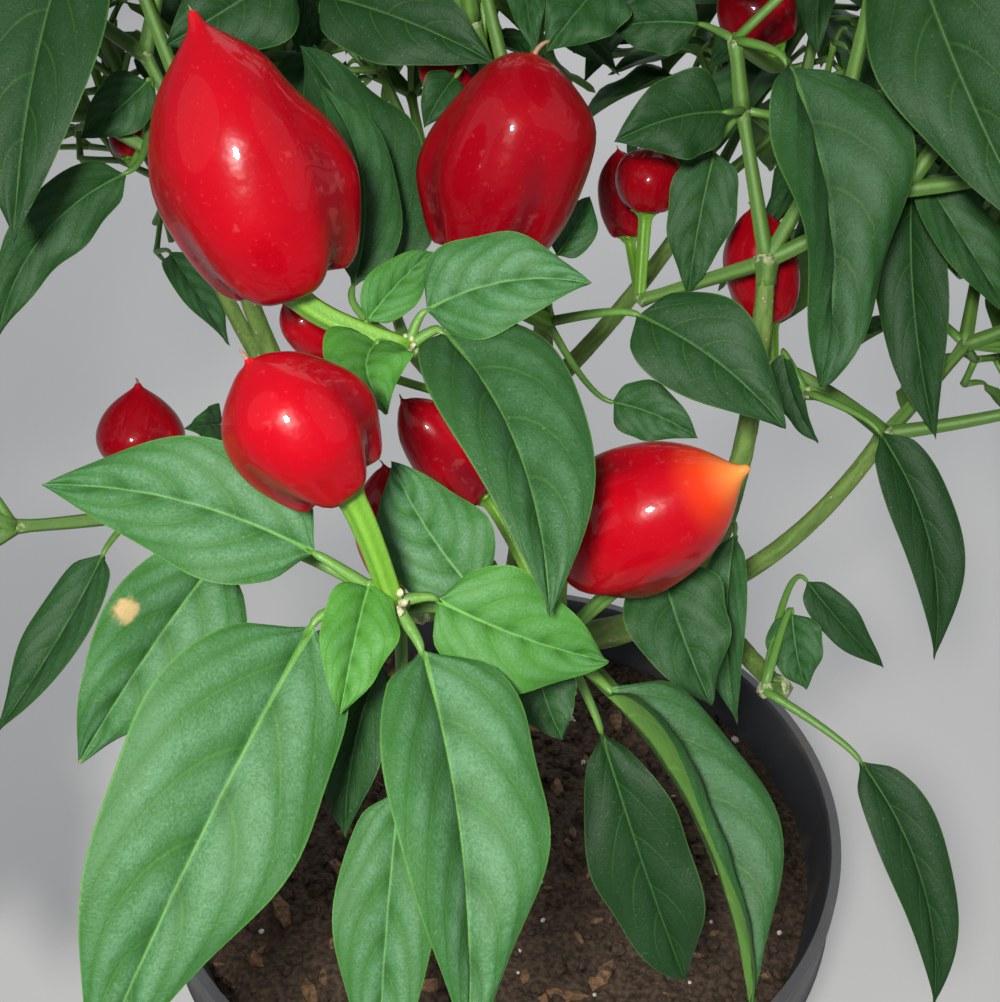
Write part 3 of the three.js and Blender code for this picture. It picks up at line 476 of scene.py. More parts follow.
# %% The mass in the middle
m = mass("middle", "top")
node = m.twig(m.start, seen(548, 322, 244), 4)
top = m.twig(m.start, seen(480, -30, 262))
m.leaf(node, (636, 314, 236), (786, 429, 228), 20, bow=-3, arch=5, roll=-14, fold=14, tint=0.1)
m.leaf(node, (612, 402, 258), (698, 438, 254), 12, bow=-2, arch=3, fold=12, tint=0.4)
m.leaf(node, (556, 256, 240), (590, 196, 242), 9, bow=1, arch=2, fold=20, tint=0.3)
m.leaf(top, (318, -6, 256), (497, 64, 250), 20, bow=-2, roll=-10, fold=12, tint=0.03)
m.leaf(top, (525, -30, 258), (536, 54, 252), 8, bow=1, arch=3, fold=20, tint=0.3)
m.leaf(top, (610, -24, 260), (546, 52, 255), 18, bow=1, arch=3, fold=16, tint=0.3)
m.leaf(top, (456, 76, 257), (424, 128, 255), 9, bow=1, arch=3, fold=16, tint=0.1)
lumps = ((0.78, 180, 0.2, -0.2), (0.35, 180, 0.2, 0.07), (0.82, 0, 0.2, 0.06), (0.5, -120, 0.3, -0.08))
m.fruit("middle_large", node, (478, 262, 228), (534, 55, 212), 27.5, blunt=0.38, lobes=4, depth=0.07,
        phase=0.7, shade=0.1, nub=0.01, style=1.5, lumps=lumps)
m.fruit("middle_high", top, (470, 92, 270), (420, 62, 264), 9, blunt=0.5)
print("The mass in the middle has", tally([m], "leaves", "peppers"))

# %% The high mass at the right
m = mass("right_high")
low = m.twig(m.start, seen(742, 110, 262))
node = m.twig(low, seen(735, 40, 256))
inner = m.twig(m.start, seen(640, 300, 284))
m.leaf(node, (785, 60, 248), (820, 388, 250), 33, bow=-7, arch=8, roll=-34, fold=36, wave=1.9, puff=1.5,
       tint=0.3)
m.leaf(low, (726, 112, 254), (614, 142, 250), 17, bow=3, arch=3, fold=12, tint=0.05)
m.leaf(node, (700, 24, 262), (606, 30, 268), 13, bow=2, arch=3, fold=12, tint=0.15)
m.leaf(low, (715, 150, 268), (688, 296, 276), 15, bow=1, fold=16, tint=0.3)
m.leaf(node, (905, -80, 236), (1040, 240, 226), 26, bow=3, arch=6, fold=16, tint=0.12)
m.leaf(low, (912, 186, 278), (936, 440, 282), 17, bow=3, arch=5, roll=10, fold=22, tint=0.1)
m.leaf(low, (920, 170, 268), (1015, 320, 272), 15, bow=3, arch=5, roll=-30, fold=22, tint=0.4)
m.fruit("right_small", inner, (646, 214, 282), (652, 146, 277), 15, blunt=0.42)
m.fruit("right_back", inner, (630, 240, 302), (618, 150, 296), 12, blunt=0.5)
m.fruit("right_high", node, (775, 50, 292), (735, -30, 285), 17, blunt=0.5)
print("The high mass at the right has", tally([m], "leaves", "peppers"))

# %% The low mass at the right
m = mass("right_low")
node = m.twig(m.start, seen(764, 690, 254))
m.leaf(node, (858, 758, 248), (934, 1008, 244), 14, bow=-8, arch=6, roll=-16, fold=24, tint=0.0)
m.leaf(node, (792, 612, 262), (806, 690, 262), 12, bow=1, arch=3, fold=22, tint=0.5)
m.leaf(node, (806, 580, 270), (884, 668, 272), 9, bow=1, arch=3, fold=22, tint=0.1)
print("The low mass at the right has", tally([m], "leaves", "peppers"))

# %% The mass at the right side
m = mass("right_side")
node = m.twig(m.start, seen(806, 392, 278), -4)
back = m.twig(m.start, seen(772, 362, 296), -3)
m.leaf(node, (878, 430, 268), (934, 661, 270), 14.5, bow=-8, arch=6, roll=-16, fold=24, tint=0.0)
m.leaf(node, (782, 352, 282), (818, 444, 284), 9, bow=1, arch=3, roll=40, fold=22, tint=0.2)
m.fruit("right_dark", back, (770, 322, 294), (752, 208, 284), 17, blunt=0.5)
print("The mass at the right side has", tally([m], "leaves", "peppers"))

# %% The high mass at the left
m = mass("left_high")
node = m.twig(m.start, seen(150, 120, 280))
top = m.twig(m.start, seen(110, -90, 262))
m.leaf(top, (76, -78, 238), (14, 243, 232), 27, bow=2, arch=6, roll=26, fold=20, tint=0.05)
m.leaf(node, (128, 172, 266), (-4, 345, 262), 14, bow=12, arch=6, roll=-10, fold=16, tint=0.3)
m.leaf(node, (148, 80, 270), (80, 138, 268), 12, bow=-1, arch=3, fold=16, tint=0.35)
m.leaf(top, (290, -30, 262), (166, 46, 258), 22, fold=16, tint=0.15)
m.fruit("left_high", node, (130, 160, 294), (127, 120, 293), 9, blunt=0.5)
print("The high mass at the left has", tally([m], "leaves", "peppers"))

# %% The low mass at the left
m = mass("left_low")
node = m.twig(m.start, seen(170, 486, 272))
m.leaf(node, (104, 552, 252), (-6, 735, 246), 13, bow=-5, arch=5, roll=30, fold=22, tint=0.25)
m.leaf(node, (222, 424, 250), (186, 428, 236), 8, arch=2, fold=12, tint=0.3)
m.fruit("left", node, (142, 462, 284), (138, 384, 278), 18.5, blunt=0.85)
print("The low mass at the left has", tally([m], "leaves", "peppers"))

# %% The masses that only the rule fills
for name in ("left_back", "back_right", "back_left"):
    mass(name)
print("Masses:", ", ".join(masses))

# %% [markdown]
# ## The growing rule
# Elsewhere the plant grows by a rule: a twig forks in two at each node, and each node bears a whorl of
# leaves and at times a pepper. A seeded dice throws the angles and lengths, so the plant is the same each
# time. A leaf that would touch a limb or another mass, leave the crown, or hang before the listed leaves
# is dropped.

# %% The dice and the limits
CROWN_LOW, CROWN_HIGH, CROWN_RADIUS = 168, 408, 182
WINDOWS = ((0, 190, 150, 400), (0, 560, 70, 1002), (780, 440, 1000, 1002), (200, 880, 340, 1002))
BEHIND, TWIGS_BEHIND, NEAREST, FRAME_MARGIN = 290, 215, 20, 12
SPRAY_CLEAR, LEAF_GAP, TWIG_CLEAR, FRUIT_CLEAR = 4.6, 15, 3.4, 1.6
FRUIT_CHANCE, FRUIT_MOST = 0.62, 14
DICE_STEP, DICE_SIDES = 16807, 2147483647


class Dice:
    def __init__(self, seed):
        self.state = seed

    def next(self):
        self.state = (self.state * DICE_STEP) % DICE_SIDES
        return self.state / DICE_SIDES

    def between(self, low, high):
        return low + (high - low) * self.next()


def stays_hidden(points, behind=BEHIND):
    """True where each point lies outside the picture, or deep in it and in none of its open windows."""
    x, y, depth = shows_at(points)
    beside = (x < -FRAME_MARGIN) | (x > FRAME_SIZE[0] + FRAME_MARGIN)
    outside = (depth < NEAREST) | beside | (y < -FRAME_MARGIN) | (y > FRAME_SIZE[1] + FRAME_MARGIN)
    open_sky = np.zeros(len(x), bool)
    for left, top, right, bottom in WINDOWS:
        open_sky |= (x >= left) & (x <= right) & (y >= top) & (y <= bottom)
    return bool(np.all(outside | ((depth >= behind) & ~open_sky)))


def stays_in_crown(points):
    points = np.atleast_2d(points)
    level = np.hypot(points[:, 0], points[:, 1])
    return bool(np.all((points[:, 2] > CROWN_LOW) & (points[:, 2] < CROWN_HIGH) & (level < CROWN_RADIUS)))


print("The crown is", CROWN_HIGH - CROWN_LOW, "mm high and", 2 * CROWN_RADIUS, "mm across")


# %% A leaf and a pepper of the rule
PETIOLE_SPAN, PETIOLE_RISE, DROOP = (11, 21), (-1, 4), (12, 68)
LEAF_LENGTH, LEAF_SHARE = (40, 62), (0.38, 0.48)
LEAF_ARCH, LEAF_BOW, LEAF_ROLL, LEAF_FOLD = (3, 8), (-4, 4), (-24, 24), (8, 24)
FRUIT_WIDTH, FRUIT_SHARE, FRUIT_BLUNT, FRUIT_STALK = (13, 22), (1.15, 1.6), (0.42, 0.62), (10, 15)


def spray_leaf(m, dice, node, heading, turn, size=1.0, clear=SPRAY_CLEAR, own=0, apart=LEAF_GAP):
    side = turned(across(heading), heading, turn)
    out = unit(side + heading * dice.between(0.1, 0.7))
    blade = node + out * dice.between(*PETIOLE_SPAN) * size
    blade[2] += dice.between(*PETIOLE_RISE) * size
    droop = math.radians(dice.between(*DROOP))
    level = unit(np.array([out[0], out[1], 0]))
    fall = level * math.cos(droop) - UP * math.sin(droop)
    length = dice.between(*LEAF_LENGTH) * size
    look = {"arch": dice.between(*LEAF_ARCH) * size, "bow": dice.between(*LEAF_BOW) * size}
    look["roll"] = dice.between(*LEAF_ROLL)
    wide = length * dice.between(*LEAF_SHARE)
    look["fold"] = dice.between(*LEAF_FOLD)
    leaf = Leaf(node, blade, blade + fall * length, wide, facing=fall * 0.4 + UP, **look)
    points = leaf.tries()
    fits = stays_in_crown(points) and stays_hidden(points) and room.is_clear(m.name, points, clear, own)
    if fits and all(distance(place, leaf.midrib.at(0.5)) > apart for place in m.middles):
        m.add(leaf)


spray_fruits = 0


def spray_pepper(m, dice, node, heading):
    global spray_fruits
    wide = dice.between(*FRUIT_WIDTH)
    length = wide * dice.between(*FRUIT_SHARE)
    chance = dice.next()
    rise = unit(heading * 0.5 + UP)
    base = node + rise * dice.between(*FRUIT_STALK)
    pepper = Pepper(node, base, base + rise * length, wide, blunt=dice.between(*FRUIT_BLUNT))
    balls = [(place, radius + FRUIT_CLEAR) for place, radius in pepper.balls()]
    if chance > FRUIT_CHANCE or spray_fruits >= FRUIT_MOST:
        return
    if not stays_hidden([place for place, _ in balls]):
        return
    if all(room.is_clear(m.name, place, gap, gap) for place, gap in balls):
        spray_fruits += 1
        m.hang(f"fruit_spray_{spray_fruits}", pepper)


print("A leaf of the rule is", LEAF_LENGTH[0], "to", LEAF_LENGTH[1], "mm long")


# %% Grow the crown
WHORL, FORK_TURN, FORK_RISE = 3, (24, 42), 0.12


def grow(m, dice, start, heading, length, levels):
    node = start + heading * length
    path = np.array([start + (node - start) * t for t in (0.35, 0.7, 1)])
    clear = room.is_clear(m.name, path, TWIG_CLEAR, 0)
    if not clear or not stays_in_crown(node) or not stays_hidden(path, TWIGS_BEHIND):
        return
    m.twig(start, node, 1)
    m.ends.append((node, heading))
    turn = dice.between(0, 2 * math.pi)
    for i in range(WHORL):
        spray_leaf(m, dice, node, heading, turn + i * 2 * math.pi / WHORL + dice.between(-0.4, 0.4))
    if levels == 0:
        spray_pepper(m, dice, node, heading)
        return
    hinge = turned(across(heading), heading, dice.between(0, math.pi))
    for sign in (-1, 1):
        fork = turned(heading, hinge, sign * math.radians(dice.between(*FORK_TURN)))
        fork[2] += FORK_RISE
        grow(m, dice, node, unit(fork), length * dice.between(0.82, 1), levels - 1)


def spray(name, seed, headings, length=30, levels=2):
    dice = Dice(seed)
    m = masses[name]
    for heading in headings:
        grow(m, dice, m.start, unit(np.array(heading, float)), length, levels)


spray("right_side", 11, ((1, -0.2, 0.35), (0.8, 0.7, 0.5)))
spray("left_back", 23, ((-1, 0.1, 0.4), (-0.6, 1, 0.5)))
spray("back_right", 37, ((0.5, 0.9, 0.5), (1, 0.3, 0.8)))
spray("back_left", 41, ((-0.2, 1, 0.5), (-0.5, 0.5, 1)))
spray("right_high", 53, ((0.6, 0.5, 1), (1, 0, 0.6)))
spray("left_high", 67, ((-0.6, 0.5, 1), (-1, 0.2, 0.5)))
spray("middle", 71, ((0.1, 0.5, 1), (-0.4, 0.2, 1)))
spray("left_low", 83, ((-1, -0.5, 0.2), (-0.7, 0.3, 0.1)), 28)
spray("right_low", 97, ((1, -0.6, 0.1),), 28, 1)
spray("front_low", 101, ((-0.6, -0.6, 0),), 24, 1)
spray("front_high", 103, ((-0.8, 0, 0.3),), 24, 1)
spray("front_right", 107, ((0.4, -0.5, -0.1),), 24, 1)
print("With the rule there are", tally(masses.values(), "leaves", "peppers"))

# %% [markdown]
# ## Finer shoots
# Between its large leaves a real crown carries short side shoots with young leaves. They are grown last,
# by the same rule at a smaller size, so they only fill room that the large leaves leave and nothing else
# moves.

# %% Grow the fine shoots
SHOOT_SIZE, SHOOT_CLEAR, SHOOT_OWN, SHOOT_GAP = 0.5, 2.6, 1.4, 7
SHOOT_RADIUS, SHOOT_STEP, SHOOT_TIP, SHOOT_SCARS = 0.9, 0.25, 0.7, 0.25
SHOOT_LENGTH, SHOOT_TURN = (10, 18), (20, 45)


def shoot(m, dice, start, heading, length, levels):
    node = start + heading * length
    path = np.array([start + (node - start) * t for t in (0.4, 0.7, 1)])
    if not (room.is_clear(m.name, path, SHOOT_CLEAR, 0) and stays_in_crown(node) and stays_hidden(path)):
        return
    m.twig(start, node, 0, SHOOT_RADIUS + SHOOT_STEP * levels, SHOOT_TIP, SHOOT_SCARS)
    turn = dice.between(0, 2 * math.pi)
    for i in range(WHORL):
        size = SHOOT_SIZE * dice.between(0.7, 1.3)
        spray_leaf(m, dice, node, heading, turn + i * 2.1, size, SHOOT_CLEAR, SHOOT_OWN, SHOOT_GAP)
    if levels:
        hinge = turned(across(heading), heading, dice.between(0, math.pi))
        for sign in (-1, 1):
            fork = turned(heading, hinge, sign * math.radians(dice.between(*SHOOT_TURN)))
            shoot(m, dice, node, unit(fork + UP * 0.1), length * 0.85, levels - 1)


for number, m in enumerate(masses.values()):
    dice = Dice(1009 + 131 * number)
    for node, heading in m.ends:
        for _ in range(2):
            aim = turned(across(heading), heading, dice.between(0, 2 * math.pi))
            aim = unit(aim + heading * dice.between(0.2, 0.9) + UP * 0.2)
            shoot(m, dice, node, aim, dice.between(*SHOOT_LENGTH), 1)
print("With the fine shoots there are", tally(masses.values(), "leaves", "twigs"))

# %% [markdown]
# ## Finishes from sums
# A shader is a net of nodes, and most of its nodes only add or multiply. Written one by one they bury the
# idea, so a small class lets Python's own signs add Math nodes, and one method adds any other node.


# %% The finish kit
class Wire:
    """One output of a node. A sum on it adds a Math node."""

    def __init__(self, finish, socket):
        self.finish, self.socket = finish, socket

    def math(self, operation, *values):
        return self.finish.node("ShaderNodeMath", {"operation": operation}, dict(enumerate(values)))

    def __add__(self, other):
        return self.math("ADD", self, other)

    def __sub__(self, other):
        return self.math("SUBTRACT", self, other)

    def __rsub__(self, other):
        return self.math("SUBTRACT", other, self)

    def __mul__(self, other):
        return self.math("MULTIPLY", self, other)

    def __pow__(self, power):
        return self.math("POWER", self, power)

    def __abs__(self):
        return self.math("ABSOLUTE", self)

    __radd__, __rmul__ = __add__, __mul__


class Finish:
    """A new material, whose shader takes plain values and wires."""

    def __init__(self, name, values):
        self.material = bpy.data.materials.new(name)
        self.material.use_nodes = True
        self.tree = self.material.node_tree
        self.shader = self.tree.nodes["Principled BSDF"]
        self.fill(self.shader, values)

    def fill(self, node, values):
        for key, value in values.items():
            if isinstance(value, Wire):
                self.tree.links.new(value.socket, node.inputs[key])
            else:
                node.inputs[key].default_value = value

    def node(self, kind, settings=None, values=None, out=0):
        made = self.tree.nodes.new(kind)
        for key, value in (settings or {}).items():
            setattr(made, key, value)
        self.fill(made, values or {})
        return Wire(self, made.outputs[out])

    def paint(self, values):
        self.fill(self.shader, values)
        return self.material

    def mark(self, name):
        """A number that the mesh itself carries."""
        return self.node("ShaderNodeAttribute", {"attribute_name": name}, out="Fac")

    def place(self):
        return self.node("ShaderNodeTexCoord", out="Object")

    def grain(self, scale, detail=2.0):
        values = {"Vector": self.place(), "Scale": scale, "Detail": detail}
        return self.node("ShaderNodeTexNoise", values=values)

    def cells(self, scale):
        values = {"Vector": self.place(), "Scale": scale}
        return self.node("ShaderNodeTexVoronoi", values=values)

    def step(self, value, low, high):
        """0 below low and 1 above high, with a soft change between them."""
        settings = {"interpolation_type": "SMOOTHSTEP", "clamp": True}
        return self.node("ShaderNodeMapRange", settings, {0: value, 1: low, 2: high})

    def blend(self, first, second, share):
        return self.node("ShaderNodeMix", {"data_type": "RGBA"}, {0: share, 6: first, 7: second}, out=2)

    def relief(self, height, depth, strength):
        values = {"Height": height, "Distance": depth, "Strength": strength}
        return self.node("ShaderNodeBump", values=values)


def colour(red, green, blue):
    return (red, green, blue, 1.0)


print("A finish can", ", ".join(name for name in vars(Finish) if not name.startswith("_")))

# %% [markdown]
# ## Leaf green
# The upper face is a deep blue-green with a fine net of cells. Over it lies a painted sheen, a silvery
# highlight put into the colour, which gathers between the side veins. The furrows of the side veins beside
# the midrib get painted shade. A number that each leaf carries makes its green lighter or darker, partly
# as its own tone and partly as painted light and shade, and sets how strong its painted sheen is. Fine
# pale specks are partly leaf dust and partly painted glints. The youngest leaves are a fresh yellow-green,
# and the lower face is paler and duller. The midrib shows as a pale line, and side veins run from it
# towards the tip. They follow the leaf, so they are drawn in its own map, where one way is along the leaf
# and the other across it.

# %% The leaf finish
SIDE_VEINS, VEIN_LEAN, VEIN_CURL = 5, 0.1, 0.36
DEEP_GREEN, MID_GREEN = colour(0.005, 0.026, 0.005), colour(0.025, 0.105, 0.016)
# The silvery colour is a painted sheen, a highlight put into the base colour.
PAINTED_SHEEN, YOUNG_GREEN = colour(0.11, 0.23, 0.135), colour(0.045, 0.17, 0.009)
VEIN_GREEN, RIB_GREEN = colour(0.10, 0.26, 0.05), colour(0.14, 0.33, 0.05)
# The furrow colour is painted shade; the pale dust colour is partly leaf dust and partly painted glints.
FURROW_SHADE, DUST_AND_GLINT_GREEN = colour(0.006, 0.035, 0.006), colour(0.30, 0.40, 0.30)
UNDER_DARK, UNDER_PALE = colour(0.06, 0.15, 0.024), colour(0.13, 0.26, 0.045)
DRY_BROWN = colour(0.40, 0.29, 0.13)


def leaf_finish():
    f = Finish("leaf_green", {"Specular IOR Level": 0.22})
    leaf_map = f.node("ShaderNodeUVMap", {"uv_map": "leaf"})
    along = f.node("ShaderNodeSeparateXYZ", values={0: leaf_map})
    over = f.node("ShaderNodeSeparateXYZ", values={0: leaf_map}, out=1)
    out = abs(over * 2 - 1)
    swept = along - out * VEIN_LEAN - out * out * VEIN_CURL
    beat = swept * SIDE_VEINS + over.math("GREATER_THAN", over, 0.5) * 0.5
    near_vein = abs(beat.math("FRACT", beat) * 2 - 1)
    side_vein = f.step(near_vein, 0.9, 1.0) * f.step(out, 0.95, 0.35)
    under, tint, spot, reach = f.mark("under"), f.mark("tint"), f.mark("blemish"), f.mark("reach")
    rib_width = 0.06 + 0.16 * (1 - along) ** 2 + 0.5 * (1 - along) ** 14
    midrib = 1 - f.step(reach - rib_width, -0.08, 0.14)
    cloud, mottle, fine = f.grain(75, 3), f.grain(260, 3), f.grain(2500, 2)
    net = f.step(f.cells(700), 0.75, 0.35)
    # Painted sheen: a silvery highlight put into the colour, between the side veins and away from the
    # edge.
    sheen_veil = 0.28 + 0.72 * f.step(cloud * 0.25 + mottle * 0.35 + fine * 0.4, 0.38, 0.62)
    painted_sheen = sheen_veil * (0.84 + 0.16 * net) * f.step(out, 1.2, 0.5) * f.step(near_vein, 1.25, 0.1)
    # The per-leaf number lightens or darkens the green: partly the leaf's own tone, partly painted light
    # and shade.
    green = f.blend(DEEP_GREEN, MID_GREEN, tint * 0.85 + fine * 0.24)
    green = f.blend(green, PAINTED_SHEEN, painted_sheen * (0.04 + 0.6 * tint))
    green = f.blend(green, VEIN_GREEN, 0.16 * side_vein)
    green = f.blend(green, YOUNG_GREEN, 0.75 * f.step(tint, 1.0, 1.2))
    # Painted shade in the furrows of the side veins beside the midrib.
    furrow_shade = f.step(reach, 2.4, 0.3) * f.step(near_vein, 0.45, 0.95)
    green = f.blend(green, FURROW_SHADE, 0.4 * furrow_shade)
    # Pale specks: partly leaf dust, partly painted glints of light.
    dust = f.step(f.grain(1900, 2), 0.66, 0.74)
    green = f.blend(green, DUST_AND_GLINT_GREEN, dust * 0.12)
    pale_lines = midrib * (0.2 + 0.28 * tint) + 0.2 * f.step(out, 0.965, 0.99)
    green = f.blend(green, RIB_GREEN, pale_lines)
    below = f.blend(UNDER_DARK, UNDER_PALE, tint * 0.4 + 0.3 * side_vein + 0.4 * midrib)
    skin = f.blend(green, below, under)
    dry = f.step(spot + 0.6 * f.grain(600, 4), 0.72, 1.05)
    skin = f.blend(skin, DRY_BROWN, dry)
    puff = (1 - near_vein ** 6) * 0.18 + mottle * 0.5 + fine * 0.45 + net * 0.12
    gloss = 0.5 + 0.1 * under + 0.16 * mottle
    return f.paint({"Base Color": skin, "Roughness": gloss, "Normal": f.relief(puff, 0.0003, 0.7)})


leaf_green = leaf_finish()
print(leaf_green.name, "has", len(leaf_green.node_tree.nodes), "nodes")

# %% [markdown]
# ## Stems, bark and calyx
# Young stems are ribbed and green, and older ones turn green-brown and corky from the ground up. Where
# leaves and peppers leave them, a pale scaly scar stays. Each mesh carries how old it is, so one finish
# can age along a stem.


# %% The stem finishes
CORK, RIB_LIME = colour(0.40, 0.38, 0.24), colour(0.24, 0.44, 0.06)
YOUNG_BARK, YOUNG_RIDGE = colour(0.06, 0.12, 0.022), colour(0.15, 0.24, 0.045)
OLD_BARK, OLD_RIDGE = colour(0.085, 0.06, 0.033), colour(0.33, 0.26, 0.16)
LENTICEL = colour(0.42, 0.37, 0.25)


def stem_finish(name, young, old, roughness):
    f = Finish(name, {})
    streak = f.grain(420, 3)
    rib, age, cork = f.mark("rib"), f.mark("age"), f.mark("cork")
    skin = f.blend(young, old, age)
    skin = f.blend(skin, f.blend(skin, RIB_LIME, 0.45), rib * 0.55 + streak * 0.25)
    flakes = f.step(f.grain(900, 4), 0.38, 0.62)
    skin = f.blend(skin, CORK, f.step(cork + 0.4 * flakes, 0.45, 0.9))
    rough = roughness + 0.2 * age + 0.12 * streak
    height = streak * 0.5 + f.grain(1800, 3) * 0.35 + flakes * cork * 0.8
    return f.paint({"Base Color": skin, "Roughness": rough, "Normal": f.relief(height, 0.0004, 0.7)})


def bark_finish():
    f = Finish("bark", {"Specular IOR Level": 0.35})
    age, ridge = f.mark("age"), f.mark("rib")
    crumbs = f.grain(700, 5)
    green = f.blend(YOUNG_BARK, YOUNG_RIDGE, ridge * 0.7 + crumbs * 0.3)
    brown = f.blend(OLD_BARK, OLD_RIDGE, ridge * 0.6 + f.step(crumbs, 0.35, 0.75) * 0.4)
    skin = f.blend(green, brown, f.step(age + 0.5 * crumbs, 0.55, 1.05))
    lenticels = f.step(f.cells(330), 0.16, 0.09)
    skin = f.blend(skin, LENTICEL, lenticels * 0.55)
    height = crumbs * 0.8 + f.grain(2200, 3) * 0.3 + lenticels * 0.4
    rough = 0.62 + 0.2 * age
    return f.paint({"Base Color": skin, "Roughness": rough, "Normal": f.relief(height, 0.0006, 0.8)})


stem_green = stem_finish("stem_green", colour(0.066, 0.17, 0.026), colour(0.038, 0.09, 0.018), 0.42)
stalk_lime = stem_finish("stalk_lime", colour(0.095, 0.25, 0.012), colour(0.05, 0.13, 0.012), 0.36)
bark = bark_finish()
print("Stem finishes:", stem_green.name, stalk_lime.name, bark.name)

# %% [markdown]
# ## Pepper skin
# A ripe pepper is a deep glossy red under a clear wax. Seen close it has faint lighter flecks, and where
# it ripened last, at the tip, it may still be orange. Its creases get painted shade, a darker red put into
# the colour. The wax is the shader's coat. How orange and how creased the skin is are numbers that the
# mesh carries, corner by corner.


# %% The pepper finishes
DARK_RED, RED, FLECK = colour(0.13, 0.0005, 0.004), colour(0.33, 0.001, 0.006), colour(0.45, 0.05, 0.04)
DEEP_ORANGE, ORANGE = colour(0.50, 0.03, 0.006), colour(0.58, 0.20, 0.04)
# The crease colour is painted shade, a darker red for the creases between the lobes.
CREASE_SHADE, SCUFF = colour(0.085, 0.004, 0.008), colour(0.55, 0.16, 0.12)


def pepper_finish():
    f = Finish("pepper_skin", {"Coat Weight": 0.24, "Coat Roughness": 0.04, "Specular IOR Level": 0.06})
    turning, shade = f.mark("turning"), f.mark("shade")
    cloud = f.grain(85, 3)
    red = f.blend(DARK_RED, RED, cloud * 0.5 + shade * 0.7)
    flecks = f.step(f.grain(1500, 2), 0.62, 0.75) * 0.16
    red = f.blend(red, FLECK, flecks)
    orange = f.blend(DEEP_ORANGE, ORANGE, f.step(turning, 0.4, 0.95))
    skin = f.blend(red, orange, f.step(turning + 0.12 * cloud, 0.12, 0.6))
    # Painted shade: the creases between the lobes are darkened in the colour.
    crease_shade = f.step(f.mark("crease") + 0.5 * f.grain(140, 4), 0.55, 1.05)
    skin = f.blend(skin, CREASE_SHADE, 0.7 * crease_shade)
    scuffs = f.step(f.grain(420, 5) + 0.12 * crease_shade, 0.64, 0.74)
    skin = f.blend(skin, SCUFF, scuffs * 0.08)
    height = cloud * 0.8 + f.grain(420, 2) * 0.14
    rough = 0.24 + 0.08 * cloud + 0.14 * scuffs
    return f.paint({"Base Color": skin, "Roughness": rough, "Normal": f.relief(height, 0.0016, 0.35)})


def dry_finish():
    f = Finish("dry_style", {})
    skin = f.blend(colour(0.10, 0.05, 0.03), colour(0.33, 0.21, 0.12), f.grain(1800, 3))
    return f.paint({"Base Color": skin, "Roughness": 0.6 + 0.25 * f.grain(900)})


pepper_skin = pepper_finish()
dry_style = dry_finish()
print("Pepper finishes:", pepper_skin.name, dry_style.name)

# %% [markdown]
# ## Pot and mix
# The pot is plain moulded plastic, dark and satin, dulled by handling at the rim and dusted by the mix
# near it. The mix is dark moist peat with pale grains and bits of bark.


# %% The pot and mix finishes
def pot_finish():
    f = Finish("pot_plastic", {"Specular IOR Level": 0.45})
    height = f.node("ShaderNodeSeparateXYZ", values={0: f.place()}, out=2)
    cloud, fine = f.grain(38, 4), f.grain(1500, 2)
    plastic = f.blend(colour(0.020, 0.021, 0.024), colour(0.046, 0.048, 0.053), cloud)
    rubbed = f.step(height + cloud * 0.004, 0.1395, 0.1425) + f.step(f.grain(240, 5), 0.66, 0.72) * 0.5
    plastic = f.blend(plastic, colour(0.15, 0.15, 0.155), rubbed * 0.35)
    dust = f.step(f.grain(70, 6), 0.50, 0.72) * f.step(height, 0.02, 0.13)
    plastic = f.blend(plastic, colour(0.14, 0.10, 0.065), dust * 0.32)
    rough = 0.42 + 0.14 * cloud + 0.25 * dust
    bumps = f.relief(fine * 0.6 + cloud, 0.0003, 0.5)
    return f.paint({"Base Color": plastic, "Roughness": rough, "Normal": bumps})


def mix_finish(name, dark, light, rough):
    f = Finish(name, {"Specular IOR Level": 0.3})
    crumbs = f.grain(650, 6)
    skin = f.blend(dark, light, f.step(crumbs, 0.3, 0.75) * 0.8 + f.grain(120, 2) * 0.2)
    bumps = f.relief(crumbs + f.cells(420) * 0.6, 0.0012, 0.9)
    return f.paint({"Base Color": skin, "Roughness": rough + 0.1 * crumbs, "Normal": bumps})


pot_plastic = pot_finish()
mix_dark = mix_finish("mix_dark", colour(0.020, 0.012, 0.008), colour(0.105, 0.068, 0.042), 0.82)
mix_bark = mix_finish("mix_bark", colour(0.085, 0.042, 0.02), colour(0.27, 0.155, 0.08), 0.75)
mix_pale = mix_finish("mix_pale", colour(0.42, 0.40, 0.36), colour(0.78, 0.76, 0.71), 0.8)
print("Pot finishes:", pot_plastic.name, mix_dark.name, mix_bark.name, mix_pale.name)

# %% [markdown]
# ## Many small bodies in one mesh
# A crown has some hundreds of leaves. As objects they would be slow to handle, so each mass's leaves
# become one mesh. Every leaf, twig and stalk is a row of rings between two end points, so one helper
# gathers them all from arrays.


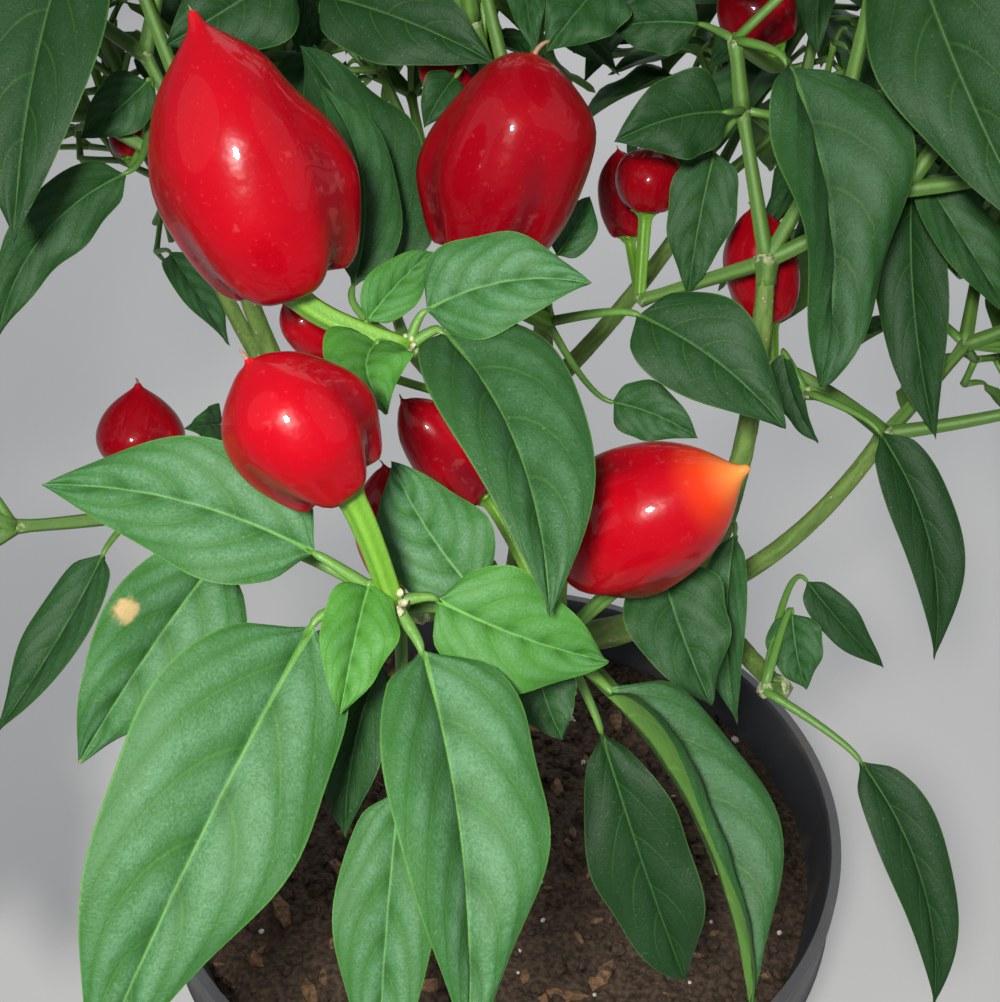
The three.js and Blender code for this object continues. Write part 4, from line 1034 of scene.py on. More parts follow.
# %% The sheaf
class Sheaf:
    """Closed bodies of rings, gathered into one mesh. An edge is sharp where a flag changes, and
    the flagged faces are split along the same diagonal as the ones that they lie under."""

    def __init__(self):
        self.places, self.quads, self.ends, self.marks, self.flags, self.count = [], [], [], {}, {}, 0

    def add(self, start, rings, end, marks, flags=None):
        rows, around = rings.shape[:2]
        self.places.append(np.vstack([start[None], rings.reshape(-1, 3), end[None]]))
        grid = self.count + 1 + np.arange(rows * around).reshape(rows, around)
        turn = np.roll(grid, -1, axis=1)
        quads = np.stack([grid[:-1], turn[:-1], turn[1:], grid[1:]], -1)
        for below in (flags or {}).values():
            quads[:, below] = np.roll(quads[:, below], 1, axis=-1)
        self.quads.append(quads.reshape(-1, 4))
        first, last = np.full(around, self.count), np.full(around, self.count + 1 + rows * around)
        caps = [np.stack([first, turn[0], grid[0]], -1), np.stack([last, grid[-1], turn[-1]], -1)]
        self.ends.append(np.vstack(caps))
        for name, value in marks.items():
            flat = np.broadcast_to(value, (rows, around))
            row = np.concatenate([[flat[0].mean()], flat.ravel(), [flat[-1].mean()]])
            self.marks.setdefault(name, []).append(row)
        for name, value in (flags or {}).items():
            quads, ends = self.flags.setdefault(name, ([], []))
            quads.append(np.tile(value, rows - 1))
            ends.append(np.tile(value, 2))
        self.count += rows * around + 2

    def make(self, name, finish, map_marks=None):
        mesh = bpy.data.meshes.new(name)
        quads, ends = np.vstack(self.quads), np.vstack(self.ends)
        corners = np.concatenate([quads.ravel(), ends.ravel()])
        sizes = np.concatenate([np.full(len(quads), 4), np.full(len(ends), 3)])
        mesh.vertices.add(self.count)
        mesh.vertices.foreach_set("co", (np.vstack(self.places) * MM).ravel())
        mesh.loops.add(len(corners))
        mesh.loops.foreach_set("vertex_index", corners.astype(np.int32))
        mesh.polygons.add(len(sizes))
        starts = np.concatenate([[0], np.cumsum(sizes)[:-1]])
        mesh.polygons.foreach_set("loop_start", starts.astype(np.int32))
        mesh.polygons.foreach_set("loop_total", sizes.astype(np.int32))
        mesh.polygons.foreach_set("use_smooth", np.ones(len(sizes), bool))
        marks = {key: np.concatenate(rows) for key, rows in self.marks.items()}
        if map_marks:
            pairs = np.stack([marks.pop(key)[corners] for key in map_marks], -1)
            mesh.uv_layers.new(name="leaf").data.foreach_set("uv", pairs.ravel())
        for key, values in marks.items():
            mesh.attributes.new(key, "FLOAT", "POINT").data.foreach_set("value", values)
        for key, (quad_rows, end_rows) in self.flags.items():
            values = np.concatenate([*quad_rows, *end_rows])
            values = np.repeat(values.astype(float), sizes)
            mesh.attributes.new(key, "FLOAT", "CORNER").data.foreach_set("value", values)
        mesh.update(calc_edges=True)
        if self.flags:
            edge_of = np.empty(len(corners), np.int32)
            mesh.loops.foreach_get("edge_index", edge_of)
            turned_over = np.bincount(edge_of, values, len(mesh.edges))
            sharp = mesh.attributes.new("sharp_edge", "BOOLEAN", "EDGE")
            sharp.data.foreach_set("value", turned_over == 1)
        return show(name, mesh, finish)


def solid(bm, name, finish):
    """The piece of a bmesh that is done."""
    for face in bm.faces:
        face.smooth = True
    mesh = bpy.data.meshes.new(name)
    bm.to_mesh(mesh)
    bm.free()
    return show(name, mesh, finish)


def show(name, mesh, finish):
    mesh.materials.append(finish)
    piece = bpy.data.objects.new(name, mesh)
    scene.collection.objects.link(piece)
    return piece


def belong(piece, slot, *nodes):
    """The piece stands for CAD nodes, which it hides, and moves with the plant. The slot is not used."""
    if nodes:
        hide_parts(*nodes)
    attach(piece, "root")


def faces_of(pieces):
    return sum(len(piece.data.polygons) for piece in pieces)


print("A sheaf starts with", Sheaf().count, "corners")

# %% [markdown]
# ## Leaves
# A flat card would do for a far tree, but here the light shows how a leaf is built: the two halves rise
# from the midrib and flatten towards the edge, the edge waves, the midrib is a groove above and a rib
# below. Each leaf is therefore a thin closed body whose rings run over the upper face and back under the
# lower one.

# %% The leaf mesh
NEAR_ROWS, FAR_ROWS, YOUNG_ROWS = 36, 18, 10
NEAR_COLUMNS = np.array([0.05, 0.13, 0.26, 0.42, 0.6, 0.8, 1.0])
FAR_COLUMNS = np.array([0.1, 0.4, 0.7, 1.0])
YOUNG_COLUMNS = np.array([0.12, 0.55, 1.0])
YOUNG_LENGTH = 33
SKIN, NECK, USUAL_WIDTH = 0.13, 0.1, 24
EDGE_WAVE, EDGE_RIPPLE, PUFF = 1.15, 0.045, 0.9
GROOVE, GROOVE_WIDTH, RIB, RIB_WIDTH = 0.34, 0.65, 0.75, 0.7


def leaf_grain(leaf):
    """How finely a leaf is drawn: nearest the eye, further off, or young and small."""
    if leaf.look.get("near"):
        return NEAR_ROWS, NEAR_COLUMNS
    return (FAR_ROWS, FAR_COLUMNS) if leaf.length > YOUNG_LENGTH else (YOUNG_ROWS, YOUNG_COLUMNS)


def leaf_lift(leaf, s, t, half, neck, wave, ripple):
    """How far the blade stands off its plane: the fold, the wavy edge and the puffs between veins."""
    out = np.abs(t)
    lift = half * out * math.sin(leaf.fold) * (1.3 - 0.45 * t**2) - 0.07 * half * t**4
    lift += wave * out**2.2 * ripple
    beat = SIDE_VEINS * (s - VEIN_LEAN * out - VEIN_CURL * t**2) + 0.5 * (t > 0)
    puff = leaf.look.get("puff", PUFF) * leaf.wide / USUAL_WIDTH * (1 - np.cos(2 * np.pi * beat))
    return lift + puff * out**0.7 * (1 - out) * neck


def leaf_body(leaf, dice):
    rows, columns = leaf_grain(leaf)
    even = np.arange(1, rows + 1) / (rows + 1)
    s = 0.35 * (0.5 - 0.5 * np.cos(np.pi * even)) + 0.65 * even
    t = np.concatenate([-columns[::-1], [0], columns])
    spine, _, face, side = leaf.frames(s)
    s = s[:, None]
    neck = np.clip(s / NECK, 0, 1)
    neck = neck**1.5 * (2.5 - 1.5 * neck)
    turns, phase = dice.between(1.6, 2.9), dice.between(0, 6.3)
    ripple = np.sin(2 * np.pi * turns * s + phase + 1.9 * np.sign(t))
    uneven = leaf.look.get("uneven", 0) * np.sign(t)
    half = leaf.half_width(s) * neck * (1 + uneven + EDGE_RIPPLE * ripple)
    size = leaf.wide / USUAL_WIDTH
    wave = leaf.look.get("wave", EDGE_WAVE) * size * dice.between(0.6, 1.3)
    lift = leaf_lift(leaf, s, t, half, neck, wave, ripple)
    reach = half * np.abs(t)
    groove = GROOVE * np.exp(-((reach / GROOVE_WIDTH) ** 2))
    rib = (RIB - 0.5 * s) * np.exp(-((reach / RIB_WIDTH) ** 2))
    lateral = np.sign(t) * reach * math.cos(leaf.fold)
    middle = spine[:, None] + lateral[..., None] * side[:, None]
    upper = middle + (lift + SKIN - groove)[..., None] * face[:, None]
    lower = middle + (lift - SKIN - groove - rib)[..., None] * face[:, None]
    rings = np.concatenate([upper, lower[:, -2:0:-1]], axis=1)
    over = np.concatenate([t, t[-2:0:-1]])
    spot = np.zeros((rows, len(over)))
    for at_s, at_t, size_s, size_t in leaf.look.get("spots", ()):
        spot += np.exp(-(((s - at_s) / size_s) ** 2) - ((over - at_t) / size_t) ** 2)
    # Each leaf's number for how light its green is: partly its own tone, partly painted light and shade.
    tint = leaf.look.get("tint", dice.between(0.15, 0.85))
    far = np.concatenate([reach, reach[:, -2:0:-1]], axis=1) / size
    marks = {"u": s, "v": over / 2 + 0.5, "tint": tint, "blemish": spot, "reach": far}
    flags = {"under": np.arange(len(over)) >= len(t) - 1}
    return leaf.midrib.at(0.0), rings, leaf.midrib.at(1.0), marks, flags


def leaves_of(m, seed):
    sheaf, dice = Sheaf(), Dice(seed)
    for leaf in m.leaves:
        sheaf.add(*leaf_body(leaf, dice))
    return sheaf.make(m.name.replace("foliage", "leaves"), leaf_green, ("u", "v"))


leaf_pieces = []
for number, m in enumerate(masses.values()):
    leaf_pieces.append(leaves_of(m, 5003 + 17 * number))
    belong(leaf_pieces[-1], "foliage", m.name)
print(tally(masses.values(), "leaves"), "have", faces_of(leaf_pieces), "faces")

# %% [markdown]
# ## Twigs and petioles
# A twig is five-ribbed and swells where it forks, and a petiole is thinner and flatter, with a groove
# above that leads into the midrib. A Curve object with a bevel is round all along, so these are rings
# too: the ribs and the swellings are then only a matter of each ring's radius.

# %% The twig mesh
RIBS, RIB_DEPTH, TWIG_SIDES, PETIOLE_SIDES = 5, 0.07, 10, 8
NODE_SWELL, NODE_LENGTH, SCARS, SCAR_CORK = 0.38, 2.4, 7, 0.45


def tube_rings(curve, steps, sides, radius_at, ribs, depth):
    """Rings about a curve, each turned as little as it can be from the one before."""
    t = np.linspace(0, 1, steps + 1)
    spine, along = curve.at(t), curve.along(t)
    guide = across(along[0])
    angles = 2 * np.pi * np.arange(sides) / sides
    rib = 0.5 + 0.5 * np.cos(ribs * angles)
    rings = []
    for place, direction, radius in zip(spine, along, radius_at(t)):
        guide = square_to(guide, direction)
        other = cross(direction, guide)
        out = np.cos(angles)[:, None] * guide + np.sin(angles)[:, None] * other
        rings.append(place + out * (radius * (1 - depth + 2 * depth * rib))[:, None])
    return np.array(rings), np.broadcast_to(rib, (steps + 1, sides))


def twig_body(curve, radius, tip):
    length = curve.length()
    steps = max(4, round(length / 3))

    def radius_at(t):
        swell = NODE_SWELL * np.exp(-(((1 - t) * length / NODE_LENGTH) ** 2))
        return (radius + (tip - radius) * t) * (1 + swell)

    rings, rib = tube_rings(curve, steps, TWIG_SIDES, radius_at, RIBS, RIB_DEPTH)
    away = (1 - np.linspace(0, 1, steps + 1))[:, None] * length
    age = np.clip((radius - 0.8) / 1.6, 0, 1) * np.ones_like(away)
    cork = SCAR_CORK * np.exp(-((away / 1.5) ** 2)) * (radius > 1.5)
    end = curve.at(1.0) + curve.along(1.0) * tip * 0.8
    return curve.at(0.0), rings, end, {"rib": rib, "age": age, "cork": cork}


def petiole_body(leaf):
    curve = leaf.petiole
    thick = PETIOLE_RADIUS * (0.55 + 0.45 * min(1, leaf.wide / 20))
    steps = max(5, round(curve.length() / 2.5))
    rings, rib = tube_rings(curve, steps, PETIOLE_SIDES, lambda t: thick * (1.15 - 0.5 * t), 2, 0.09)
    marks = {"rib": rib * 0.6, "age": 0.0, "cork": 0.0}
    spine, _, face, _ = leaf.frames(np.array([0.05]))
    return curve.at(0.0), rings, spine[0] - face[0] * 0.25, marks


def scar_body(node, aim, radius, turn):
    """One dry scale at a node, where a flower or a leaf has dropped."""
    out = turned(across(aim), aim, turn)
    tip = node + out * radius + aim * radius * 1.3
    curve = Bend(node, node + out * radius * 0.8 + aim * radius * 0.4, tip)
    rings, rib = tube_rings(curve, 4, 6, lambda t: radius * (0.44 - 0.2 * t), 3, 0.15)
    return curve.at(0.0), rings, curve.at(1.0), {"rib": rib, "age": 0.3, "cork": 1.0}


def twigs_of(m):
    sheaf = Sheaf()
    for curve, radius, tip in m.twigs:
        sheaf.add(*twig_body(curve, radius, tip))
    for curve, size in m.scars:
        for turn in range(SCARS):
            sheaf.add(*scar_body(curve.end, curve.along(1.0), size, turn * 2 * math.pi / SCARS))
    for leaf in m.leaves:
        sheaf.add(*petiole_body(leaf))
    return sheaf.make(m.name.replace("foliage", "twigs"), stem_green)


twig_pieces = [twigs_of(m) for m in masses.values()]
for piece, m in zip(twig_pieces, masses.values()):
    belong(piece, "bark", m.name)
print(tally(masses.values(), "twigs"), "and the petioles have", faces_of(twig_pieces), "faces")

# %% [markdown]
# ## Stalks and calyces
# A pepper's stalk is thick, lime green and ribbed. It widens like a trumpet into the calyx, a small cap
# with five blunt teeth that grips the shoulder. Each stalk and its calyx are one row of rings, the last
# of which turn back under the cap and into the pepper.

# %% The stalk mesh
CALYX_MOST, CALYX_SHARE, STALK_SHARE, SHOULDER_DIP = 4.2, 0.2, 0.085, 0.05
STALK_STEPS, STALK_SIDES, TEETH = 14, 30, 5
CALYX_RINGS = ((0.8, -0.5), (1.0, -0.35), (1.02, -0.05), (0.7, 0.5))


def hollow(pepper, radius):
    """How deep the shoulder is drawn in, at each radius, where the calyx sits."""
    return SHOULDER_DIP * pepper.length * np.exp(-((radius / (0.3 * pepper.wide)) ** 2))


def shoulder_height(pepper, radius):
    """How far along its axis the pepper's skin lies at each radius."""
    a = np.linspace(0.002, 0.3, 60)
    return np.interp(radius, pepper.radius(a), a * pepper.length) + hollow(pepper, radius)


def stalk_body(pepper):
    reach = pepper.stalk.length()
    calyx = min(CALYX_MOST, pepper.wide * CALYX_SHARE)
    thin = min(STALK_RADIUS, pepper.wide * STALK_SHARE)
    trumpet = 1 - min(0.6, 1.25 * calyx / reach)

    def radius_at(t):
        flare = np.clip((t - trumpet) / (1 - trumpet), 0, 1)
        return thin * (0.95 + 0.2 * t) + (calyx * 0.66 - thin) * flare**2.6

    rings, rib = tube_rings(pepper.stalk, STALK_STEPS, STALK_SIDES, radius_at, TEETH, 0.1)
    along = pepper.stalk.along(1.0)
    out = rings[-1] - pepper.stalk.at(1.0)
    out /= np.linalg.norm(out, axis=1)[:, None]
    tooth = 0.5 + 0.5 * np.cos(TEETH * 2 * np.pi * np.arange(STALK_SIDES) / STALK_SIDES)
    caps = []
    for share, lift in CALYX_RINGS:
        radius = calyx * share * (0.8 + 0.35 * tooth**2)
        down = shoulder_height(pepper, radius) + lift
        caps.append(pepper.base + out * radius[:, None] + along * down[:, None])
    rings = np.concatenate([rings, np.array(caps)])
    rib = np.concatenate([rib, np.tile(tooth * 0.5, (len(caps), 1))])
    end = pepper.base + along * min(1.5, pepper.length * 0.08)
    return pepper.stalk.at(0.0), rings, end, {"rib": rib, "age": 0.25, "cork": 0.0}


def stalks_of(m):
    sheaf = Sheaf()
    for _, pepper in m.peppers:
        sheaf.add(*stalk_body(pepper))
    return sheaf.make(m.name.replace("foliage", "stalks"), stalk_lime)


stalk_pieces = []
for m in masses.values():
    if m.peppers:
        stalk_pieces.append(stalks_of(m))
        belong(stalk_pieces[-1], "foliage", m.name)
print(len(stalk_pieces), "pieces of stalks have", faces_of(stalk_pieces), "faces")

# %% [markdown]
# ## Peppers
# A pepper is nearly a turned form, so its outline is drawn once and spun about its axis. Real ones are
# not true: the shoulder has low lobes with creases between them, which fade towards the tip, one side
# bulges, and the skin is dented. The spun corners are moved in and out for that, as a potter would press a
# wet pot.

# %% The pepper mesh
PEPPER_STEPS, PEPPER_ROWS, PEPPER_WELD = 56, 34, 1e-4
NUB, NUB_RADIUS, NOSE, NOSE_LENGTH = 0.025, 0.055, 0.25, 0.13
LOBE_DEPTH, USUAL_TURNING = 0.045, (0.9, 0.2)
LOBE_SWELL, LOBE_FADE, VALLEY_CUT, VALLEY_TWIST = 0.6, 0.8, 2.2, 0.6
LUMP_REACH, DENTS, DENT_SIZE = 0.9, 0.04, 2.6
SHOULDER_AT, SHOULDER_REACH = 0.08, 0.1


def pepper_outline(pepper):
    """Radius and height of each corner from the calyx to the tip, in millimetres."""
    even = np.arange(1, PEPPER_ROWS + 1) / (PEPPER_ROWS + 1)
    a = 0.5 - 0.5 * np.cos(np.pi * even)
    nub = pepper.look.get("nub", NUB)
    body = pepper.radius(np.clip(a / (1 - nub), 0, 0.9999))
    body *= 1 - pepper.look.get("nose", NOSE) * np.exp(-(((1 - a) / NOSE_LENGTH) ** 2))
    along_nub = np.clip((a - 1 + 4 * nub) / (4 * nub), 0, 1)
    beak = NUB_RADIUS * pepper.wide * np.clip(a * 4 - 3, 0, 1) * np.sqrt(1 - along_nub**3)
    radius = (body**3 + beak**3) ** (1 / 3)
    return radius, a * pepper.length + hollow(pepper, radius) * (a < 0.4)


def spun(outline, steps, weld):
    """An outline of (radius, height) corners, turned once about the upright axis."""
    bm = bmesh.new()
    line = [bm.verts.new((radius, 0, height)) for radius, height in outline]
    edges = [bm.edges.new(pair) for pair in zip(line, line[1:])]
    spin = {"cent": (0, 0, 0), "axis": (0, 0, 1), "angle": 2 * math.pi, "use_merge": True}
    bmesh.ops.spin(bm, geom=line + edges, steps=steps, **spin)
    bmesh.ops.remove_doubles(bm, verts=bm.verts, dist=weld)
    bmesh.ops.recalc_face_normals(bm, faces=bm.faces)
    return bm


def press(vertex, crease, pepper, lobes, depth, phase):
    """One corner moved in or out, for lobes with creases between them, lumps and shallow dents."""
    a = min(1, max(0, vertex.co.z / pepper.length))
    angle = math.atan2(vertex.co.y, vertex.co.x)
    valley = (0.5 - 0.5 * math.cos(lobes * angle + phase + VALLEY_TWIST * a)) ** 3
    valley *= (1 - a) ** LOBE_FADE
    vertex[crease] = valley
    scale = 1 + depth * (LOBE_SWELL * (1 - a) ** LOBE_FADE - VALLEY_CUT * valley)
    for at_a, at_angle, spread, amount in pepper.look.get("lumps", ()):
        apart = math.remainder(angle - math.radians(at_angle), 2 * math.pi)
        scale += amount * math.exp(-(((a - at_a) / spread) ** 2) - (apart / LUMP_REACH) ** 2)
    scale += DENTS * noise.noise(vertex.co * (DENT_SIZE / pepper.wide) + Vector((phase, 0, 0)))
    low = (1 - valley) * depth * pepper.length * math.exp(-(((a - SHOULDER_AT) / SHOULDER_REACH) ** 2))
    vertex.co.z -= low * min(1, math.hypot(vertex.co.x, vertex.co.y) / (0.3 * pepper.wide)) ** 2
    vertex.co.x *= scale
    vertex.co.y *= scale


def stand(pepper):
    """Turns the upright form to its axis, with its x to the right of that as the eye sees it."""
    right = unit(cross(EYE_FORWARD, pepper.axis))
    frame_rows = np.array([right, cross(pepper.axis, right), pepper.axis]).T
    return Matrix(frame_rows.tolist()).to_4x4()


def pepper_piece(name, pepper, dice):
    radii, heights = pepper_outline(pepper)
    heights = [heights[0] * 0.9, *heights, pepper.length]
    bm = spun(zip([0, *radii, 0], heights), PEPPER_STEPS, PEPPER_WELD)
    layers, look = bm.verts.layers.float, pepper.look
    turning, shade, crease = layers.new("turning"), layers.new("shade"), layers.new("crease")
    lobes, depth = look.get("lobes", dice.between(2.6, 4.4) // 1), look.get("depth", LOBE_DEPTH)
    phase, tone = look.get("phase", dice.between(0, 6.3)), look.get("shade", dice.between(0.1, 0.7))
    from_a, strength = look.get("turning", USUAL_TURNING)
    for vertex in bm.verts:
        a = vertex.co.z / pepper.length
        vertex[turning] = strength * min(1, max(0, (a - from_a) / (1 - from_a)))
        vertex[shade] = tone
        press(vertex, crease, pepper, lobes, depth, phase)
    bmesh.ops.transform(bm, matrix=stand(pepper), verts=bm.verts)
    bmesh.ops.translate(bm, vec=Vector(pepper.base + pepper.axis * CLEAR), verts=bm.verts)
    bmesh.ops.scale(bm, vec=(MM, MM, MM), verts=bm.verts)
    return solid(bm, name, pepper_skin)


pepper_pieces = []
for number, (name, pepper) in enumerate(entry for m in masses.values() for entry in m.peppers):
    piece = pepper_piece(name.replace("fruit", "pepper"), pepper, Dice(7001 + 29 * number))
    belong(piece, "fruit", name)
    pepper_pieces.append(piece)
print(len(pepper_pieces), "peppers have", faces_of(pepper_pieces), "faces")

# %% [markdown]
# ## Dry styles
# The flower's style dries to a brown thread at the tip of the pepper and often stays there. It is tiny,
# but it tells a pepper from a plastic berry, so each gets one, bent to one side.

# %% The styles
STYLE_LENGTH = 2.6


def styles():
    sheaf, dice = Sheaf(), Dice(9109)
    for _, pepper in (entry for m in masses.values() for entry in m.peppers):
        size = min(1, pepper.wide / 22) * pepper.look.get("style", 1)
        side = turned(across(pepper.axis), pepper.axis, dice.between(0, 6.3))
        tip = pepper.tip + pepper.axis * STYLE_LENGTH * size * 0.7 + side * dice.between(0.2, 1.3) * size
        curve = Bend(pepper.tip - pepper.axis * 0.8, pepper.tip + pepper.axis * 1.2 * size, tip)
        rings, rib = tube_rings(curve, 6, 6, lambda t: size * (0.42 - 0.24 * t), 3, 0.12)
        sheaf.add(curve.at(0.0), rings, curve.at(1.0), {"rib": rib})
    return sheaf.make("dry_styles", dry_style)


dry_styles = styles()
belong(dry_styles, "fruit")
print("The styles have", faces_of([dry_styles]), "faces")

# %% [markdown]
# ## Trunk and boughs
# The woody part is one growth, with no seam where a bough leaves the trunk. Each limb is a disc pushed
# along its curve, face by face, and a voxel Remesh then melts all of them into one skin. That skin is
# smoothed, and the bark's ridges are pressed into it, running along each limb, because a bump in the
# finish would not show in the outline.

# %% Sweep the limbs
LIMB_SIDES, LIMB_STEP, FLARE_TO = 14, 3.0, 0.22
VOXEL, SMOOTHINGS = 0.8, 4


def sweep(bm, curve, radius_at):
    """A disc, pushed along a curve and scaled to each place's radius."""
    steps = max(3, round(curve.length() / LIMB_STEP))
    t = np.linspace(0, 1, steps + 1)
    places, aims, radii = curve.at(t), curve.along(t), radius_at(t)
    corners = bmesh.ops.create_circle(bm, cap_ends=True, segments=LIMB_SIDES, radius=radii[0])["verts"]
    start = Vector((0, 0, 1)).rotation_difference(Vector(aims[0])).to_matrix().to_4x4()
    bmesh.ops.transform(bm, matrix=start, verts=corners)
    bmesh.ops.translate(bm, vec=Vector(places[0]), verts=corners)
    disc = corners[0].link_faces[0]
    for i in range(steps):
        made = bmesh.ops.extrude_face_region(bm, geom=[disc])["geom"]
        corners = [item for item in made if isinstance(item, bmesh.types.BMVert)]
        disc = next(item for item in made if isinstance(item, bmesh.types.BMFace))
        turn = Vector(aims[i]).rotation_difference(Vector(aims[i + 1])).to_matrix().to_4x4()
        bmesh.ops.translate(bm, vec=-Vector(places[i]), verts=corners)
        bmesh.ops.scale(bm, vec=Vector((1, 1, 1)) * (radii[i + 1] / radii[i]), verts=corners)
        bmesh.ops.transform(bm, matrix=turn, verts=corners)
        bmesh.ops.translate(bm, vec=Vector(places[i + 1]), verts=corners)


def trunk_radius(t):
    taper = TRUNK_FOOT + (TRUNK_TOP - TRUNK_FOOT) * t
    return taper + (TRUNK_FLARE - TRUNK_FOOT) * np.clip(1 - t / FLARE_TO, 0, 1) ** 2


wood_lines = [(Bend(trunk_foot - UP * 2, trunk_curve.middle, FORK), trunk_radius, 1.0, 0.55)]
for name, (carrier, _, _, radii) in BOUGHS.items():
    curve = limbs[name][0]
    root = FORK if carrier == "trunk" else np.array(BOUGHS[carrier][1], float)
    tip = curve.end + curve.along(1.0) * (COLLAR if name.startswith("limb") else 0)
    old, young = (0.5, 0.3) if carrier == "trunk" else (0.28, 0.1)
    radius_at = lambda t, radii=radii: radii[0] + (radii[1] - radii[0]) * t
    wood_lines.append((Bend(root, curve.middle, tip), radius_at, old, young))

wood_bm = bmesh.new()
for curve, radius_at, _, _ in wood_lines:
    sweep(wood_bm, curve, radius_at)
knobs = [(BOUGHS[name][1], KNOB * 0.86) for name in BOUGHS if name.startswith("bough")]
for place, radius in [(FORK, TRUNK_KNOB * 0.9), *knobs]:
    knob = bmesh.ops.create_icosphere(wood_bm, subdivisions=3, radius=radius)["verts"]
    bmesh.ops.translate(wood_bm, vec=Vector(place), verts=knob)
bmesh.ops.scale(wood_bm, vec=(MM, MM, MM), verts=wood_bm.verts)
bmesh.ops.recalc_face_normals(wood_bm, faces=wood_bm.faces)
print("The swept limbs have", len(wood_bm.faces), "faces")


# %% Melt them into one skin and press the bark in
SAMPLE_STEP, OLD_RIDGES, OLD_AGE = 1.2, 9, 0.5
YOUNG_RISE, OLD_RISE, FLAKE_RISE = 0.10, 0.55, 0.35


def melted(bm):
    """A bmesh of the solids as one skin, by a voxel Remesh that is applied at once."""
    rough = bpy.data.meshes.new("rough_wood")
    bm.to_mesh(rough)
    helper = bpy.data.objects.new("rough_wood", rough)
    scene.collection.objects.link(helper)
    remesh = helper.modifiers.new("melt", "REMESH")
    remesh.mode, remesh.voxel_size = "VOXEL", VOXEL * MM
    graph = bpy.context.evaluated_depsgraph_get()
    skin = bpy.data.meshes.new_from_object(helper.evaluated_get(graph))
    bpy.data.objects.remove(helper)
    bm.clear()
    bm.from_mesh(skin)
    return bm


def wood_samples():
    """Place, direction, radius, age and distance from the root, step by step along each limb."""
    samples = []
    for curve, radius_at, old, young in wood_lines:
        t = np.linspace(0, 1, max(4, round(curve.length() / SAMPLE_STEP)))
        ages = old + (young - old) * t
        samples += zip(curve.at(t), curve.along(t), radius_at(t), ages, t * curve.length())
    return samples


def bark_piece():
    bm = melted(wood_bm)
    every_way = {"use_axis_x": True, "use_axis_y": True, "use_axis_z": True}
    for _ in range(SMOOTHINGS):
        bmesh.ops.smooth_vert(bm, verts=bm.verts, factor=0.5, **every_way)
    samples = wood_samples()
    tree = KDTree(len(samples))
    for index, (place, *_) in enumerate(samples):
        tree.insert(place * MM, index)
    tree.balance()
    layers = bm.verts.layers.float
    age_layer, rib_layer = layers.new("age"), layers.new("rib")
    bm.normal_update()
    moves = []
    for vertex in bm.verts:
        place, aim, radius, age, far = samples[tree.find(vertex.co)[1]]
        out = np.array(vertex.co) / MM - place
        guide = across(aim)
        angle = math.atan2(out @ cross(aim, guide), out @ guide)
        wander = noise.noise(Vector((math.cos(angle), math.sin(angle), far / 9)) * 1.3)
        count = OLD_RIDGES if age > OLD_AGE else RIBS
        ridge = abs(math.sin(count * angle / 2 + 2.2 * wander))
        flake = noise.noise(Vector((math.cos(angle) * 2.5, math.sin(angle) * 2.5, far / 5)))
        vertex[age_layer] = age
        vertex[rib_layer] = ridge
        height = (ridge - 0.55) * (YOUNG_RISE + OLD_RISE * age**2) + flake * FLAKE_RISE * age
        moves.append(vertex.normal * height * min(1, radius / 4) * MM)
    for vertex, move in zip(bm.verts, moves):
        vertex.co += move
    return solid(bm, "trunk_and_boughs", bark)


trunk_and_boughs = bark_piece()
belong(trunk_and_boughs, "bark", "trunk", *BOUGHS)
print("The wood has", faces_of([trunk_and_boughs]), "faces")

# %% [markdown]
# ## The pot
# A plain round pot is a turned form: a tapered wall, a step up to a straight rim, a rounded lip and a
# flat underside. Its outline is spun once round. Short slopes at the outline's corners stand for the
# roundings of a mould.

# %% The pot mesh
POT_HEIGHT, FOOT_RADIUS, WALL_TOP, RIM_RADIUS, RIM_HEIGHT, WALL, FLOOR = 140, 64, 84, 90, 22, 2.4, 3
POT_STEPS, POT_WELD = 120, 1e-3


def turned_form(bm, name, finish, angle=40):
    """The piece in metres, smooth but for the edges that turn more than the angle."""
    bmesh.ops.scale(bm, vec=(MM, MM, MM), verts=bm.verts)
    for edge in bm.edges:
        edge.smooth = len(edge.link_faces) != 2 or edge.calc_face_angle() < math.radians(angle)
    return solid(bm, name, finish)


pot_step = POT_HEIGHT - RIM_HEIGHT
pot_outline = [
    (0, 0),
    (FOOT_RADIUS - 1, 0),
    (FOOT_RADIUS, 1.6),
    (FOOT_RADIUS + 0.7, 6),
    (FOOT_RADIUS + 0.9, 8),
    (WALL_TOP - 0.4, pot_step - 3),
    (WALL_TOP, pot_step),
    (RIM_RADIUS - 0.6, pot_step + 0.4),
    (RIM_RADIUS - 0.2, pot_step + 2),
    (RIM_RADIUS - 0.7, pot_step + 3),
    (RIM_RADIUS - 0.7, POT_HEIGHT - 5),
    (RIM_RADIUS, POT_HEIGHT - 4),
    (RIM_RADIUS, POT_HEIGHT),
    (RIM_RADIUS - WALL, POT_HEIGHT),
    (RIM_RADIUS - WALL - 0.6, POT_HEIGHT - 3),
    (WALL_TOP - WALL + 1, pot_step),
    (FOOT_RADIUS - WALL, FLOOR),
    (0, FLOOR),
]
pot = turned_form(spun(pot_outline, POT_STEPS, POT_WELD), "flower_pot", pot_plastic)
belong(pot, "pot", "pot")
print("The pot has", faces_of([pot]), "faces")

# %% [markdown]
# ## The potting mix
# Its surface is lumpy, a little higher round the stem and lower at the rim where water runs. A spun disc
# gives a closed body, and a noise moves its top up and down. Loose crumbs, bark bits and pale grains then
# lie on it, because a noise alone never looks loose.

# %% The mix surface
MIX_RINGS, MIX_STEPS = 46, 150
MIX_RADIUS, MIX_GAP, MIX_EDGE = 85.6, 0.5, 2.2


